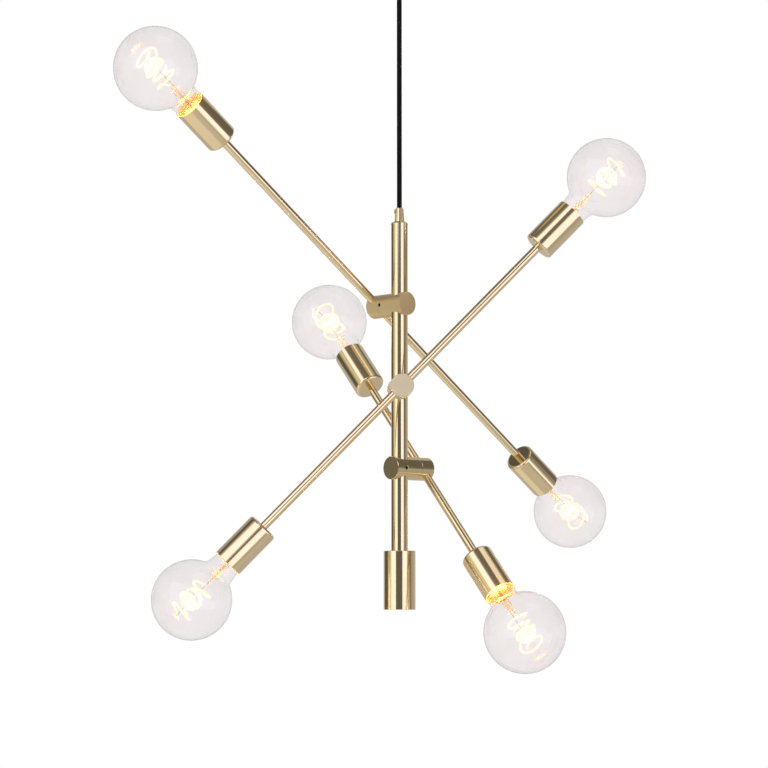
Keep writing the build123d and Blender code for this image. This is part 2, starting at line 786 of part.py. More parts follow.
def make_rod(arm):
    """Straight tube with a shoulder and a thread at each end, and a wire window in its middle."""
    half = arm.rod_length / 2
    tip = half + rod_thread_length
    with BuildPart() as rod:
        with BuildSketch(section_plane(arm.rod_centre, arm.along, arm.side)):
            Polygon(
                (wire_bore, -tip),
                (rod_thread - ROD_EDGE, -tip),
                (rod_thread, ROD_EDGE - tip),
                (rod_thread, -half),
                (rod_radius, -half),
                (rod_radius, half),
                (rod_thread, half),
                (rod_thread, tip - ROD_EDGE),
                (rod_thread - ROD_EDGE, tip),
                (wire_bore, tip),
                align=None,
            )
        revolve(axis=Axis(arm.rod_centre, arm.along))
        with BuildSketch(Plane(origin=arm.rod_centre, x_dir=arm.along, z_dir=arm.side * -1)):
            Circle(wire_bore)
        extrude(amount=2 * rod_radius, mode=Mode.SUBTRACT)
    save(rod, f"{arm.name}_arm_rod")


def make_cups(arm):
    """Drawn cups: closed, round-edged bases on the rod's shoulders, mouths out towards the bulbs."""
    hole = rod_thread + FIT
    inner_edge = CUP_EDGE - CUP_WALL
    with BuildPart() as cups:
        for end in arm.ends:
            with BuildSketch(end.section):
                with BuildLine():
                    Line((hole, 0), (cup_radius - CUP_EDGE, 0))
                    RadiusArc((cup_radius - CUP_EDGE, 0), (cup_radius, CUP_EDGE), -CUP_EDGE)
                    Polyline(
                        (cup_radius, CUP_EDGE),
                        (cup_radius, CUP_DEPTH),
                        (cup_bore, CUP_DEPTH),
                        (cup_bore, CUP_BASE + inner_edge),
                    )
                    RadiusArc(
                        (cup_bore, CUP_BASE + inner_edge), (cup_bore - inner_edge, CUP_BASE), inner_edge
                    )
                    Polyline((cup_bore - inner_edge, CUP_BASE), (hole, CUP_BASE), (hole, 0))
                make_face()
            revolve(axis=end.axis)
    save(cups, f"{arm.name}_lampholder_cups")


def make_rod_nuts(arm):
    """Hexagon nuts inside the cups, on the rod's threaded ends."""
    with BuildPart() as nuts:
        for end in arm.ends:
            with BuildSketch(end.across(CUP_BASE)):
                RegularPolygon(rod_thread + NUT_WALL, 6, major_radius=False)
                Circle(rod_thread + FIT, mode=Mode.SUBTRACT)
            extrude(amount=NUT_THICKNESS)
    save(nuts, f"{arm.name}_rod_nuts")


def make_inserts(arm):
    """Ceramic bodies that hold the screw shells, screwed down on the rod's ends."""
    thread_top = rod_thread_length + 2 * FIT
    with BuildPart() as inserts:
        for end in arm.ends:
            with BuildSketch(end.section):
                Polygon(
                    (rod_thread + FIT, rod_nut_top),
                    (insert_radius - CUP_EDGE, rod_nut_top),
                    (insert_radius, rod_nut_top + CUP_EDGE),
                    (insert_radius, INSERT_RIM),
                    (insert_bore, INSERT_RIM),
                    (insert_bore, INSERT_FLOOR),
                    (wire_bore, INSERT_FLOOR),
                    (wire_bore, thread_top),
                    (rod_thread + FIT, thread_top),
                    align=None,
                )
            revolve(axis=end.axis)
    save(inserts, f"{arm.name}_lampholder_inserts")


def wave(radius, depth, start, pitch, count):
    """Points of a rolled thread seen from the side: a crest at radius in the middle of each pitch."""
    points = [(radius - depth, start)]
    for turn in range(count):
        low = start + turn * pitch
        points.append((radius, low + pitch * (1 - THREAD_CREST) / 2))
        points.append((radius, low + pitch * (1 + THREAD_CREST) / 2))
        points.append((radius - depth, low + pitch))
    return points


def make_holder_contacts(arm):
    """Rolled screw shell, and the sprung tongue that meets the bulb's end contact."""
    count = int((INSERT_RIM - INSERT_FLOOR) / CAP_THREAD_PITCH)
    inside = wave(shell_bore + SHELL_WAVE, SHELL_WAVE, INSERT_FLOOR, CAP_THREAD_PITCH, count)
    outside = [(radius + SHELL_WALL, height) for radius, height in reversed(inside)]
    crown = BULB_SEAT - FIT - TONGUE_THICKNESS
    under = [
        (-insert_bore + INSERT_WALL, INSERT_FLOOR),
        (-wire_bore - TONGUE_THICKNESS, INSERT_FLOOR),
        (-TONGUE_CROWN / 2, crown),
        (TONGUE_CROWN / 2, crown),
        (3 * TONGUE_CROWN / 2, crown - TONGUE_CROWN / 2),
    ]
    over = [(x, height + TONGUE_THICKNESS) for x, height in reversed(under)]
    with BuildPart() as contacts:
        for end in arm.ends:
            with BuildSketch(end.section):
                Polygon(*inside, *outside, align=None)
            revolve(axis=end.axis)
            with BuildSketch(end.section):
                Polygon(*under, *over, align=None)
            extrude(amount=TONGUE_WIDTH / 2, both=True)
    save(contacts, f"{arm.name}_lampholder_contacts")


# ------------------------------------------------------------------------ bulbs


def make_bulb_glass(arm, end):
    """Blown globe and neck, with the glass mount that carries the filament fused into the neck."""
    bulb = section_plane(end.seat + end.out * BULB_SEAT, end.out, end.radial)
    seal = cap_radius - CAP_THREAD_DEPTH - CAP_WALL - FIT
    foot = CAP_HEIGHT - GLASS_IN_CAP
    neck = NECK_DIAMETER / 2
    neck_top = NECK_TOP_DIAMETER / 2
    shoulder = CAP_HEIGHT + NECK_SHOULDER
    globe_foot = globe_height - sqrt(bulb_radius**2 - neck_top**2)
    press_foot = MOUNT_HEIGHT - MOUNT_PRESS_LENGTH
    with BuildPart() as glass:
        with BuildSketch(bulb) as outline:
            with Locations((0, globe_height)):
                Circle(bulb_radius)
            Polygon(
                (-seal, foot),
                (seal, foot),
                (seal, CAP_HEIGHT),
                (neck, shoulder),
                (neck_top, globe_foot),
                (neck_top, globe_height),
                (-neck_top, globe_height),
                (-neck_top, globe_foot),
                (-neck, shoulder),
                (-seal, CAP_HEIGHT),
                align=None,
            )
            joints = outline.vertices().filter_by_position(Axis.Y, globe_foot - FIT, globe_foot + FIT)
            fillet(joints, NECK_FILLET)
            offset(amount=-GLASS_WALL, kind=Kind.INTERSECTION, mode=Mode.SUBTRACT)
            Polygon(
                (-MOUNT_DIAMETER / 2, foot),
                (MOUNT_DIAMETER / 2, foot),
                (MOUNT_DIAMETER / 2, press_foot),
                (MOUNT_PRESS_DIAMETER / 2, press_foot + MOUNT_PRESS_DIAMETER / 4),
                (MOUNT_PRESS_DIAMETER / 2, MOUNT_HEIGHT),
                (-MOUNT_PRESS_DIAMETER / 2, MOUNT_HEIGHT),
                (-MOUNT_PRESS_DIAMETER / 2, press_foot + MOUNT_PRESS_DIAMETER / 4),
                (-MOUNT_DIAMETER / 2, press_foot),
                align=None,
            )
            with Locations((0, (foot + MOUNT_HEIGHT) / 2)):
                Rectangle(EXHAUST_BORE, MOUNT_HEIGHT - foot, mode=Mode.SUBTRACT)
            with Locations((-bulb_radius, globe_height)):
                Rectangle(2 * bulb_radius, 2 * BULB_LENGTH, mode=Mode.SUBTRACT)
        revolve(axis=end.axis)
    save(glass, f"{arm.name}_{end.name}_bulb_glass")


def make_bulb_cap(arm, end):
    """Screw cap with a rolled thread, a plain rim around the glass and an end contact."""
    bulb = section_plane(end.seat + end.out * BULB_SEAT, end.out, end.radial)
    inner = cap_radius - CAP_THREAD_DEPTH - CAP_WALL
    thread_start = CAP_HEIGHT - CAP_RIM - CAP_THREADS * CAP_THREAD_PITCH
    button = CAP_BUTTON_DIAMETER / 2
    with BuildPart() as cap:
        with BuildSketch(bulb):
            Polygon(
                (0, 0),
                (button, 0),
                (button, CAP_BUTTON_HEIGHT),
                (cap_radius - CAP_THREAD_DEPTH - CAP_TAPER, CAP_BUTTON_HEIGHT),
                *wave(cap_radius, CAP_THREAD_DEPTH, thread_start, CAP_THREAD_PITCH, CAP_THREADS),
                (cap_radius - CAP_THREAD_DEPTH, CAP_HEIGHT),
                (inner, CAP_HEIGHT),
                (inner, thread_start),
                (MOUNT_DIAMETER / 2, CAP_BUTTON_HEIGHT + CAP_TAPER),
                (0, CAP_BUTTON_HEIGHT + CAP_TAPER),
                align=None,
            )
        revolve(axis=end.axis)
    save(cap, f"{arm.name}_{end.name}_bulb_cap")


def filament_point(frame, turns):
    """Point on the coil's helix, turns up from its foot."""
    radius = FILAMENT_COIL_DIAMETER / 2
    pitch = FILAMENT_HEIGHT / (FILAMENT_HALF_TURNS / 2)
    angle = 2 * pi * turns
    height = globe_height - FILAMENT_HEIGHT / 2 + pitch * turns
    return frame.from_local_coords(Vector(radius * cos(angle), radius * sin(angle), height))


def filament_tangent(frame, turns):
    """Direction of the coil's helix at that point."""
    radius = FILAMENT_COIL_DIAMETER / 2
    rise = FILAMENT_HEIGHT / (FILAMENT_HALF_TURNS / 2) / (2 * pi)
    angle = 2 * pi * turns
    flat = frame.x_dir * (-radius * sin(angle)) + frame.y_dir * (radius * cos(angle))
    return (flat + frame.z_dir * rise).normalized()


def arc_middle(start, corner, end):
    """Middle point of the arc from start to end whose end tangents meet at corner."""
    chord_middle = (start + end) * 0.5
    half_chord = (end - start).length / 2
    half_turn = acos(min(1, half_chord / (corner - start).length))
    towards = (corner - chord_middle).normalized()
    return chord_middle + towards * (half_chord * tan(half_turn / 2))


def draw_biarc(start, leaving, end, arriving):
    """Two arcs in a row, tangent to the given directions at both ends and to each other."""
    chord = end - start
    both = leaving + arriving
    spare = 2 * (1 - leaving.dot(arriving))
    along = chord.dot(both)
    reach = (sqrt(along**2 + spare * chord.dot(chord)) - along) / spare
    first = start + leaving * reach
    second = end - arriving * reach
    middle = (first + second) * 0.5
    ThreePointArc(start, arc_middle(start, first, middle), middle)
    ThreePointArc(middle, arc_middle(middle, second, end), end)


def make_filament(arm, end):
    """Flexible LED filament wound in an open coil, and the two leads that hold it on the press."""
    frame = Plane(origin=end.seat + end.out * BULB_SEAT, x_dir=end.radial, z_dir=end.out)
    steps = 2 * FILAMENT_HALF_TURNS
    turns = [step / 4 for step in range(steps + 1)]
    foot = filament_point(frame, turns[0])
    head = filament_point(frame, turns[-1])
    with BuildPart() as filament:
        with BuildLine() as coil:
            for low, high in zip(turns, turns[1:]):
                draw_biarc(
                    filament_point(frame, low),
                    filament_tangent(frame, low),
                    filament_point(frame, high),
                    filament_tangent(frame, high),
                )
        with BuildSketch(Plane(origin=foot, z_dir=filament_tangent(frame, turns[0]))):
            Circle(FILAMENT_DIAMETER / 2)
        sweep(path=coil.wire())
        for side, target in ((1, foot), (-1, head)):
            press = Vector(side * LEAD_SPREAD / 2, 0, MOUNT_HEIGHT)
            local = frame.to_local_coords(target)
            bend = Vector(press.X, 0, local.Z - (abs(local.X) - abs(press.X)) * LEAD_SLOPE)
            with BuildLine() as lead:
                FilletPolyline(
                    *(frame.from_local_coords(point) for point in (press, bend, local)),
                    radius=LEAD_BEND_RADIUS,
                )
            with BuildSketch(Plane(origin=frame.from_local_coords(press), z_dir=end.out)):
                Circle(LEAD_DIAMETER / 2)
            sweep(path=lead.wire())
    save(filament, f"{arm.name}_{end.name}_bulb_filament")


def coil_gap():
    """Least gap between the coil's surface and itself, measured on points of its middle line."""
    frame = Plane.XY
    per_turn = 48
    count = FILAMENT_HALF_TURNS * per_turn // 2
    points = [filament_point(frame, step / per_turn) for step in range(count + 1)]
    least = min(
        (points[i] - points[j]).length
        for i in range(len(points))
        for j in range(i + per_turn // 2, len(points))
    )
    return least - FILAMENT_DIAMETER


# ------------------------------------------------------------------ whole lamp

make_ceiling_bracket()
make_canopy()
make_canopy_screws()
make_terminal_block()
make_canopy_gland()
make_pendant_cord()
make_cord_grip()
make_cord_grip_screw()
make_stem_cap()
make_stem_tube()
make_end_cup_nipple()
make_end_cup()
make_end_cup_nut()
make_end_cup_lid()
make_junction_block()
for arm in ARMS:
    make_knuckle_base(arm)
    make_grub_screws(arm)
    make_pivot(arm)
    make_knuckle_head(arm)
    make_rod(arm)
    make_cups(arm)
    make_rod_nuts(arm)
    make_inserts(arm)
    make_holder_contacts(arm)
    for end in arm.ends:
        make_bulb_glass(arm, end)
        make_bulb_cap(arm, end)
        make_filament(arm, end)
print(f"filament coil: least gap to itself {coil_gap():.2f} mm")
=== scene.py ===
# %% [markdown]
# # A sputnik chandelier in brass and clear glass
#
# Three straight brass rods cross a hanging stem. Each rod carries a lampholder cup and a clear globe bulb
# at both ends. The metal comes ready-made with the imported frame, because it was built at its real size.
# This lesson adds what a picture needs: the cord, the glowing coils and their leads, the screw caps with
# their real threads, a finish for every surface, and a light tent for the brass to mirror.

# %% Load the frame
import json
from math import atan2, cos, degrees, pi, radians, sin

import bpy
from mathutils import Matrix, Vector


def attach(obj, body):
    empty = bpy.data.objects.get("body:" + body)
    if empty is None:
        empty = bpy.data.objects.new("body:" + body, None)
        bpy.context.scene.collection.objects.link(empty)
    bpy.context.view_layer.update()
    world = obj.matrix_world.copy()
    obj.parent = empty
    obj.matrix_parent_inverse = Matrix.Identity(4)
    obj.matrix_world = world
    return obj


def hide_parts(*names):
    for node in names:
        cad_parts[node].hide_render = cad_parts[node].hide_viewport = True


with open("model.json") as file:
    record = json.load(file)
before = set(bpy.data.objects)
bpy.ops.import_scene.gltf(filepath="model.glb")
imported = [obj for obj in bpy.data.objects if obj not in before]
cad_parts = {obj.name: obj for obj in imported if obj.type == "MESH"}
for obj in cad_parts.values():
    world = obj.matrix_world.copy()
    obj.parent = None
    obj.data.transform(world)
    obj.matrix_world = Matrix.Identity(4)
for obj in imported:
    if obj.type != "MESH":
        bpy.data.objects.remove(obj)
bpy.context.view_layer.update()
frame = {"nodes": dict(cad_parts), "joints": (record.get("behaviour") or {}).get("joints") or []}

MM = 0.001
ARMS = ("upper", "middle", "lower")
SIDES = ("high", "low")
BULBS = [f"{arm}_{side}_bulb" for arm in ARMS for side in SIDES]

# %% [markdown]
# ## The camera
#
# The photograph was taken from about 2.9 m away with a long lens, a little below the middle of the lamp
# and tilted up a few degrees, so the upper arms are seen slightly from below. The lens and place below
# were worked out from where the stem, the knuckles and the six globes stand in the picture.

# %% Camera
CAMERA_PLACE = Vector((0, -2.850, -0.785))
CAMERA_PITCH = 5.14  # degrees up
CAMERA_TURN = 0.375  # degrees to the left
CAMERA_LENS = 111.46  # on a sensor 36 mm wide

camera_data = bpy.data.cameras.new("camera")
camera_data.lens = CAMERA_LENS
camera_data.sensor_width = 36
camera_data.clip_end = 50
camera = bpy.data.objects.new("camera", camera_data)
camera.location = CAMERA_PLACE
camera.rotation_euler = (radians(90 + CAMERA_PITCH), 0, radians(CAMERA_TURN))
bpy.context.scene.collection.objects.link(camera)
bpy.context.scene.camera = camera
bpy.context.view_layer.update()

# %% [markdown]
# ## Small helpers
#
# An operator works on everything that is selected, so each step starts from nothing selected. Colours
# are written as the sRGB hex values that a colour picker shows, and one function turns them to the linear
# values that the renderer works with. One more function adds a node, sets its sockets and links it.

# %% Helpers for objects
def deselect():
    """Nothing selected, in object mode."""
    if bpy.context.object is not None and bpy.context.object.mode != "OBJECT":
        bpy.ops.object.mode_set(mode="OBJECT")
    bpy.ops.object.select_all(action="DESELECT")


def pick(piece):
    """Only this piece selected and active."""
    deselect()
    piece.select_set(True)
    bpy.context.view_layer.objects.active = piece


def settle(piece):
    """Put the piece's place into its mesh, so that its object sits at the origin."""
    pick(piece)
    bpy.ops.object.transform_apply(location=True, rotation=True, scale=True)


def smooth(piece, sharp_above):
    """Shade smooth, but for edges that bend by more than this many degrees."""
    pick(piece)
    bpy.ops.object.shade_smooth_by_angle(angle=radians(sharp_above))


def copy_of(piece, name, place):
    """A copy with its own mesh, moved by a matrix."""
    twin = bpy.data.objects.new(name, piece.data.copy())
    bpy.context.scene.collection.objects.link(twin)
    twin.data.transform(place)
    return twin


# %% Helpers for nodes
def linear(hex_colour, alpha=1.0):
    """sRGB hex value to linear red, green, blue and alpha."""
    values = [int(hex_colour[i : i + 2], 16) / 255 for i in (0, 2, 4)]
    return [v / 12.92 if v <= 0.04045 else ((v + 0.055) / 1.055) ** 2.4 for v in values] + [alpha]


def add_node(tree, kind, settings=(), links=()):
    """Add a node, set its sockets and properties, and link its inputs."""
    node = tree.nodes.new(kind)
    for name, value in dict(settings).items():
        if isinstance(name, int) or name in node.inputs:
            node.inputs[name].default_value = value
        else:
            setattr(node, name, value)
    for name, source in dict(links).items():
        tree.links.new(source, node.inputs[name])
    return node


def new_material(name):
    """An empty material with its node tree and output."""
    material = bpy.data.materials.new(name)
    material.use_nodes = True
    tree = material.node_tree
    tree.nodes.clear()
    output = tree.nodes.new("ShaderNodeOutputMaterial")
    return material, tree, output


# %% [markdown]
# ## The pendant cord
#
# The real cord is a round three-core flex in a smooth black sheath, 6 mm thick. The lamp's weight pulls
# it dead straight, so it is a curve with its points on one upright line. It leaves the ceiling's terminal
# block, runs down through the gland, and ends in the brass grip on the stem. A round bevel gives it its
# thickness: each point's radius is the cord's own, and the bevel is a circle of size 1 times that radius.

# %% Cord
CORD_DIAMETER = 6 * MM
CORD_TOP = Vector((0, 0, -12.5 * MM))
CORD_BOTTOM = Vector((0, 0, -325 * MM))
CORD_LEAD = Vector((0, 0, 36 * MM))  # from each end to the next point

deselect()
bpy.ops.curve.primitive_nurbs_path_add()
cord = bpy.context.object
cord.name = "cord_flex"
cord.data.splines.clear()
cord_route = [CORD_TOP, CORD_TOP - CORD_LEAD, CORD_BOTTOM + CORD_LEAD, CORD_BOTTOM]
spline = cord.data.splines.new("NURBS")
spline.points.add(len(cord_route) - 1)
for point, place in zip(spline.points, cord_route):
    point.co = (*place, 1)
    point.radius = CORD_DIAMETER / 2
spline.order_u = 3
spline.use_endpoint_u = True
spline.resolution_u = 12
cord.data.bevel_depth = 1  # times each point's radius
cord.data.bevel_resolution = 8
cord.data.use_fill_caps = True
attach(cord, "root")
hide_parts("pendant_cord")

# %% [markdown]
# ## Where each bulb sits
#
# Six bulbs point six ways, so a bulb is modelled once, standing upright on its end contact, and copied
# to each place. The frame gives that place: the slide joint's axis is the bulb's own axis, the tilt
# joint's axis lies square to it, and the screw cap's reach along those directions gives the rest.

# %% Bulb places
joints = {joint["name"]: joint for joint in frame["joints"]}


def reach(node, direction):
    """Lowest and highest value of a CAD node's points along a direction."""
    values = [vertex.co.dot(direction) for vertex in frame["nodes"][node].data.vertices]
    return min(values), max(values)


def middle_of(node, axes):
    """The point midway between a CAD node's lowest and highest points along each direction."""
    return sum((axis * sum(reach(node, axis)) / 2 for axis in axes), Vector())


def joint_axis(joint):
    """Unit vector of a joint's axis."""
    return Vector(joints[joint]["axis"]).normalized()


def bulb_place(bulb):
    """Matrix from the upright bulb, standing on its end contact at the origin, to its real place."""
    out = joint_axis(f"{bulb}_out")
    side = joint_axis(f"{bulb.split('_')[0]}_tilt")
    across = out.cross(side)
    place = Matrix((side, across, out)).transposed().to_4x4()
    place.translation = middle_of(f"{bulb}_cap", (side, across)) + out * reach(f"{bulb}_cap", out)[0]
    return place


PLACES = {bulb: bulb_place(bulb) for bulb in BULBS}
first_axis = joint_axis(f"{BULBS[0]}_out")
cap_low, cap_high = reach(f"{BULBS[0]}_cap", first_axis)
glass_low, glass_high = reach(f"{BULBS[0]}_glass", first_axis)
glass_left, glass_right = reach(f"{BULBS[0]}_glass", joint_axis(f"{ARMS[0]}_tilt"))
CAP_HEIGHT = cap_high - cap_low
BULB_LENGTH = glass_high - cap_low
GLOBE_RADIUS = (glass_right - glass_left) / 2
GLOBE_HEIGHT = BULB_LENGTH - GLOBE_RADIUS
print(f"bulb {BULB_LENGTH / MM:.1f} mm long, cap {CAP_HEIGHT / MM:.1f} mm high")
print(f"globe {2 * GLOBE_RADIUS / MM:.1f} mm across")

# %% [markdown]
# ## Turning a profile
#
# Glass envelopes and screw caps are round, so they are made as on a lathe: half of the outline is drawn
# point by point, by extruding one vertex, and spun about the upright axis. A full spin joins its last
# column to its first by itself, but it leaves many points on each other where the outline meets the axis.
# They are merged, and the normals are worked out again before any wall gets its thickness.

# %% Lathe
MERGE = 0.002 * MM  # closer points than this are one
TURN_STEPS = 96


def arc(centre, radius, start, end, steps):
    """Points on an arc in the radius-height plane, its angles in degrees from the outward direction."""
    angles = [radians(start + (end - start) * step / steps) for step in range(steps + 1)]
    return [(centre[0] + radius * cos(a), centre[1] + radius * sin(a)) for a in angles]


def draw(name, outline):
    """One edge after the other through the outline's points, given as radius and height."""
    deselect()
    bpy.ops.mesh.primitive_plane_add(size=MM)
    piece = bpy.context.object
    piece.name = name
    bpy.ops.object.mode_set(mode="EDIT")
    bpy.ops.mesh.merge(type="CENTER")
    bpy.ops.transform.translate(value=(outline[0][0], 0, outline[0][1]))
    for (r0, z0), (r1, z1) in zip(outline, outline[1:]):
        bpy.ops.mesh.extrude_region_move(TRANSFORM_OT_translate={"value": (r1 - r0, 0, z1 - z0)})
    return piece


def turn(name, outline, steps=TURN_STEPS):
    """Spin an outline about the upright axis into a closed or open skin."""
    piece = draw(name, outline)
    bpy.ops.mesh.select_all(action="SELECT")
    bpy.ops.mesh.spin(steps=steps, angle=2 * pi, center=(0, 0, 0), axis=(0, 0, 1))
    bpy.ops.mesh.select_all(action="SELECT")
    bpy.ops.mesh.remove_doubles(threshold=MERGE)
    bpy.ops.mesh.normals_make_consistent(inside=False)
    bpy.ops.object.mode_set(mode="OBJECT")
    return piece


def thicken(piece, wall):
    """Give a skin a wall on its inner side."""
    pick(piece)
    shell = piece.modifiers.new("wall", "SOLIDIFY")
    shell.thickness = wall
    shell.offset = -1
    shell.use_even_offset = True
    bpy.ops.object.modifier_apply(modifier=shell.name)
    smooth(piece, sharp_above=40)


# %% [markdown]
# ## The globe
#
# A globe bulb is blown soda-lime glass, thinner than a millimetre: a short neck that widens a little,
# then a soft throat that flows into the sphere. The throat is an arc that touches both, and its middle is
# found from two distances: its own radius from the neck's line, and both radii from the globe's middle.
# Two points on a line fit such a distance, and the lower one is the throat's.

# %% Envelope
GLASS_WALL = 0.8 * MM
NECK_FOOT_RADIUS = 12.05 * MM  # inside the screw cap
NECK_FOOT = (NECK_FOOT_RADIUS, CAP_HEIGHT - 5 * MM)
NECK_RIM = (NECK_FOOT_RADIUS, CAP_HEIGHT)
NECK_SHOULDER = (16.5 * MM, CAP_HEIGHT + 5 * MM)
NECK_TOP_RADIUS = 19 * MM
THROAT_RADIUS = 9 * MM
THROAT_STEPS = 10
GLOBE_STEPS = 56

globe_middle = Vector((0, GLOBE_HEIGHT))
neck_top = Vector((NECK_TOP_RADIUS, GLOBE_HEIGHT - (GLOBE_RADIUS**2 - NECK_TOP_RADIUS**2) ** 0.5))
shoulder = Vector(NECK_SHOULDER)
up_neck = (neck_top - shoulder).normalized()
off_neck = Vector((up_neck.y, -up_neck.x))
beside_shoulder = shoulder + off_neck * THROAT_RADIUS
from_globe = beside_shoulder - globe_middle
below_globe = -from_globe.dot(up_neck)
off_globe_squared = from_globe.length_squared - below_globe**2
along_neck = below_globe - ((GLOBE_RADIUS + THROAT_RADIUS) ** 2 - off_globe_squared) ** 0.5
throat_middle = beside_shoulder + up_neck * along_neck
to_neck = -off_neck
to_globe = (globe_middle - throat_middle).normalized()
neck_angle = degrees(atan2(to_neck.y, to_neck.x)) % 360
globe_angle = degrees(atan2(to_globe.y, to_globe.x)) % 360
below = degrees(atan2(-to_globe.y, -to_globe.x))

envelope_outline = [NECK_FOOT, NECK_RIM, NECK_SHOULDER]
envelope_outline += arc(throat_middle, THROAT_RADIUS, neck_angle, globe_angle, THROAT_STEPS)
envelope_outline += arc(globe_middle, GLOBE_RADIUS, below, 90, GLOBE_STEPS)[1:]
envelope_outline[-1] = (0, envelope_outline[-1][1])
envelope = turn("bulb_envelope", envelope_outline)
thicken(envelope, GLASS_WALL)
print("throat from", round(neck_angle), "to", round(globe_angle), "degrees")
print("envelope", len(envelope.data.polygons), "faces")

# %% [markdown]
# ## The glass mount
#
# Inside the neck stands the mount: a glass flare at the neck's foot that rises as a tube and is pressed
# flat round the two lead wires. Through a thinner tube in its middle the air was pumped out. Both are
# turned, and the press is pinched by a resize across its own middle.

# %% Mount
MOUNT_RADIUS = 4.5 * MM
MOUNT_TOP = 64 * MM
PRESS_HEIGHT = 9 * MM
PRESS_RADIUS = 3.5 * MM
PRESS_PINCH = 0.62
PRESS_STEP = 2 * MM  # the height in which the tube narrows to the press
PRESS_ROUND = 1 * MM
FLARE_FOOT = (10.8 * MM, NECK_FOOT[1] + 0.6 * MM)
FLARE_TOP = NECK_FOOT[1] + 12 * MM
FLARE_STEPS = 8
EXHAUST_RADIUS = 1.6 * MM

flare_drop = FLARE_TOP - FLARE_FOOT[1]
flare_reach = FLARE_FOOT[0] - MOUNT_RADIUS
flare_angles = [pi / 2 * step / FLARE_STEPS for step in range(FLARE_STEPS + 1)]
press_foot = MOUNT_TOP - PRESS_HEIGHT
mount_outline = [
    (MOUNT_RADIUS + flare_reach * (1 - sin(a)), FLARE_FOOT[1] + flare_drop * (1 - cos(a)))
    for a in flare_angles
]
mount_outline += [
    (MOUNT_RADIUS, press_foot),
    (PRESS_RADIUS, press_foot + PRESS_STEP),
    (PRESS_RADIUS, MOUNT_TOP - PRESS_ROUND),
    (PRESS_RADIUS - PRESS_ROUND, MOUNT_TOP),
    (0, MOUNT_TOP),
]
mount = turn("bulb_mount", mount_outline, steps=48)
thicken(mount, GLASS_WALL)
bpy.ops.object.mode_set(mode="EDIT")
bpy.ops.mesh.select_all(action="DESELECT")
bpy.ops.object.mode_set(mode="OBJECT")
for vertex in mount.data.vertices:
    vertex.select = vertex.co.z > press_foot + PRESS_STEP / 2
bpy.ops.object.mode_set(mode="EDIT")
bpy.ops.transform.resize(value=(1, PRESS_PINCH, 1), center_override=(0, 0, press_foot))
bpy.ops.object.mode_set(mode="OBJECT")

exhaust = turn("exhaust", [(EXHAUST_RADIUS, FLARE_FOOT[1]), (EXHAUST_RADIUS, press_foot)], steps=24)
thicken(exhaust, GLASS_WALL / 2)
pick(mount)
exhaust.select_set(True)
bpy.ops.object.join()
print("mount", len(mount.data.polygons), "faces")

# %% [markdown]
# ## The glowing coil and its leads
#
# The light comes from a flexible filament: a silicone thread, 2.6 mm thick, with a row of tiny LEDs
# inside, wound in three and a half open turns. It is hung between two wires that come out of the press.
# Both are curves with a round bevel. The coil's points are worked out by a loop: its turns differ in
# width and lean over, each in a slightly different direction, as wound by hand.

# %% Coil and leads
COIL_RADIUS = 13 * MM
COIL_HEIGHT = 47 * MM
COIL_TURNS = 3.5
COIL_STEPS_PER_TURN = 24
COIL_SWAY = 2.2 * MM  # at most, a turn is this much wider or narrower
COIL_SWAY_WAVES = 1.3  # from the coil's foot to its head
COIL_TILT = 7 * MM  # halfway up, a turn's high side stands this much above its middle
COIL_TILT_DRIFT = 1 / 6  # share of a turn by which the high side moves on, turn after turn
FILAMENT_RADIUS = 1.3 * MM
LEAD_RADIUS = 0.45 * MM
LEAD_SPREAD = 2.2 * MM  # either way from the middle, where the leads leave the press
LEAD_SPREAD_LOW = 0.8 * LEAD_SPREAD  # in the tube below the press
LEAD_STRAIGHT = 6 * MM  # between the last points in the tube
LEAD_RISE = 0.4  # height gained for each step outwards, on the way to the coil


def coil_point(turns):
    """Point of the coil's middle line, some turns up from its foot."""
    angle = 2 * pi * turns
    rise = turns / COIL_TURNS
    radius = COIL_RADIUS + COIL_SWAY * sin(pi * rise) * cos(2 * pi * COIL_SWAY_WAVES * rise)
    tilt = COIL_TILT * sin(pi * rise) ** 0.5 * sin(angle * (1 - COIL_TILT_DRIFT))
    height = GLOBE_HEIGHT - COIL_HEIGHT / 2 + COIL_HEIGHT * rise + tilt
    return Vector((radius * cos(angle), radius * sin(angle), height))


def wire(name, routes, radius, order=3):
    """A round wire through each route's control points, as a mesh."""
    data = bpy.data.curves.new(name, "CURVE")
    data.dimensions = "3D"
    data.bevel_depth = radius
    data.bevel_resolution = 3
    data.use_fill_caps = True
    for route in routes:
        line = data.splines.new("NURBS")
        line.points.add(len(route) - 1)
        for point, place in zip(line.points, route):
            point.co = (*place, 1)
        line.order_u = order
        line.use_endpoint_u = True
        line.resolution_u = 4
    piece = bpy.data.objects.new(name, data)
    bpy.context.scene.collection.objects.link(piece)
    pick(piece)
    bpy.ops.object.convert(target="MESH")
    piece = bpy.context.object
    smooth(piece, sharp_above=50)
    return piece


coil_steps = int(COIL_TURNS * COIL_STEPS_PER_TURN)
coil_route = [coil_point(step / COIL_STEPS_PER_TURN) for step in range(coil_steps + 1)]
coil = wire("bulb_filament", [coil_route], FILAMENT_RADIUS, order=4)


def lead_route(side, target):
    """Up out of the mount, on past the press, and out to one end of the coil."""
    x = side * LEAD_SPREAD
    low_x = side * LEAD_SPREAD_LOW
    bend = target.z - (abs(target.x) - LEAD_SPREAD) * LEAD_RISE
    return [
        Vector((low_x, 0, FLARE_FOOT[1])),
        Vector((low_x, 0, press_foot - LEAD_STRAIGHT)),
        Vector((x, 0, press_foot)),
        Vector((x, 0, MOUNT_TOP)),
        Vector((x, 0, bend)),
        target,
    ]


lead_routes = [lead_route(1, coil_route[0]), lead_route(-1, coil_route[-1])]
leads = wire("bulb_leads", lead_routes, LEAD_RADIUS)
print("coil", len(coil.data.polygons), "faces, leads", len(leads.data.polygons))

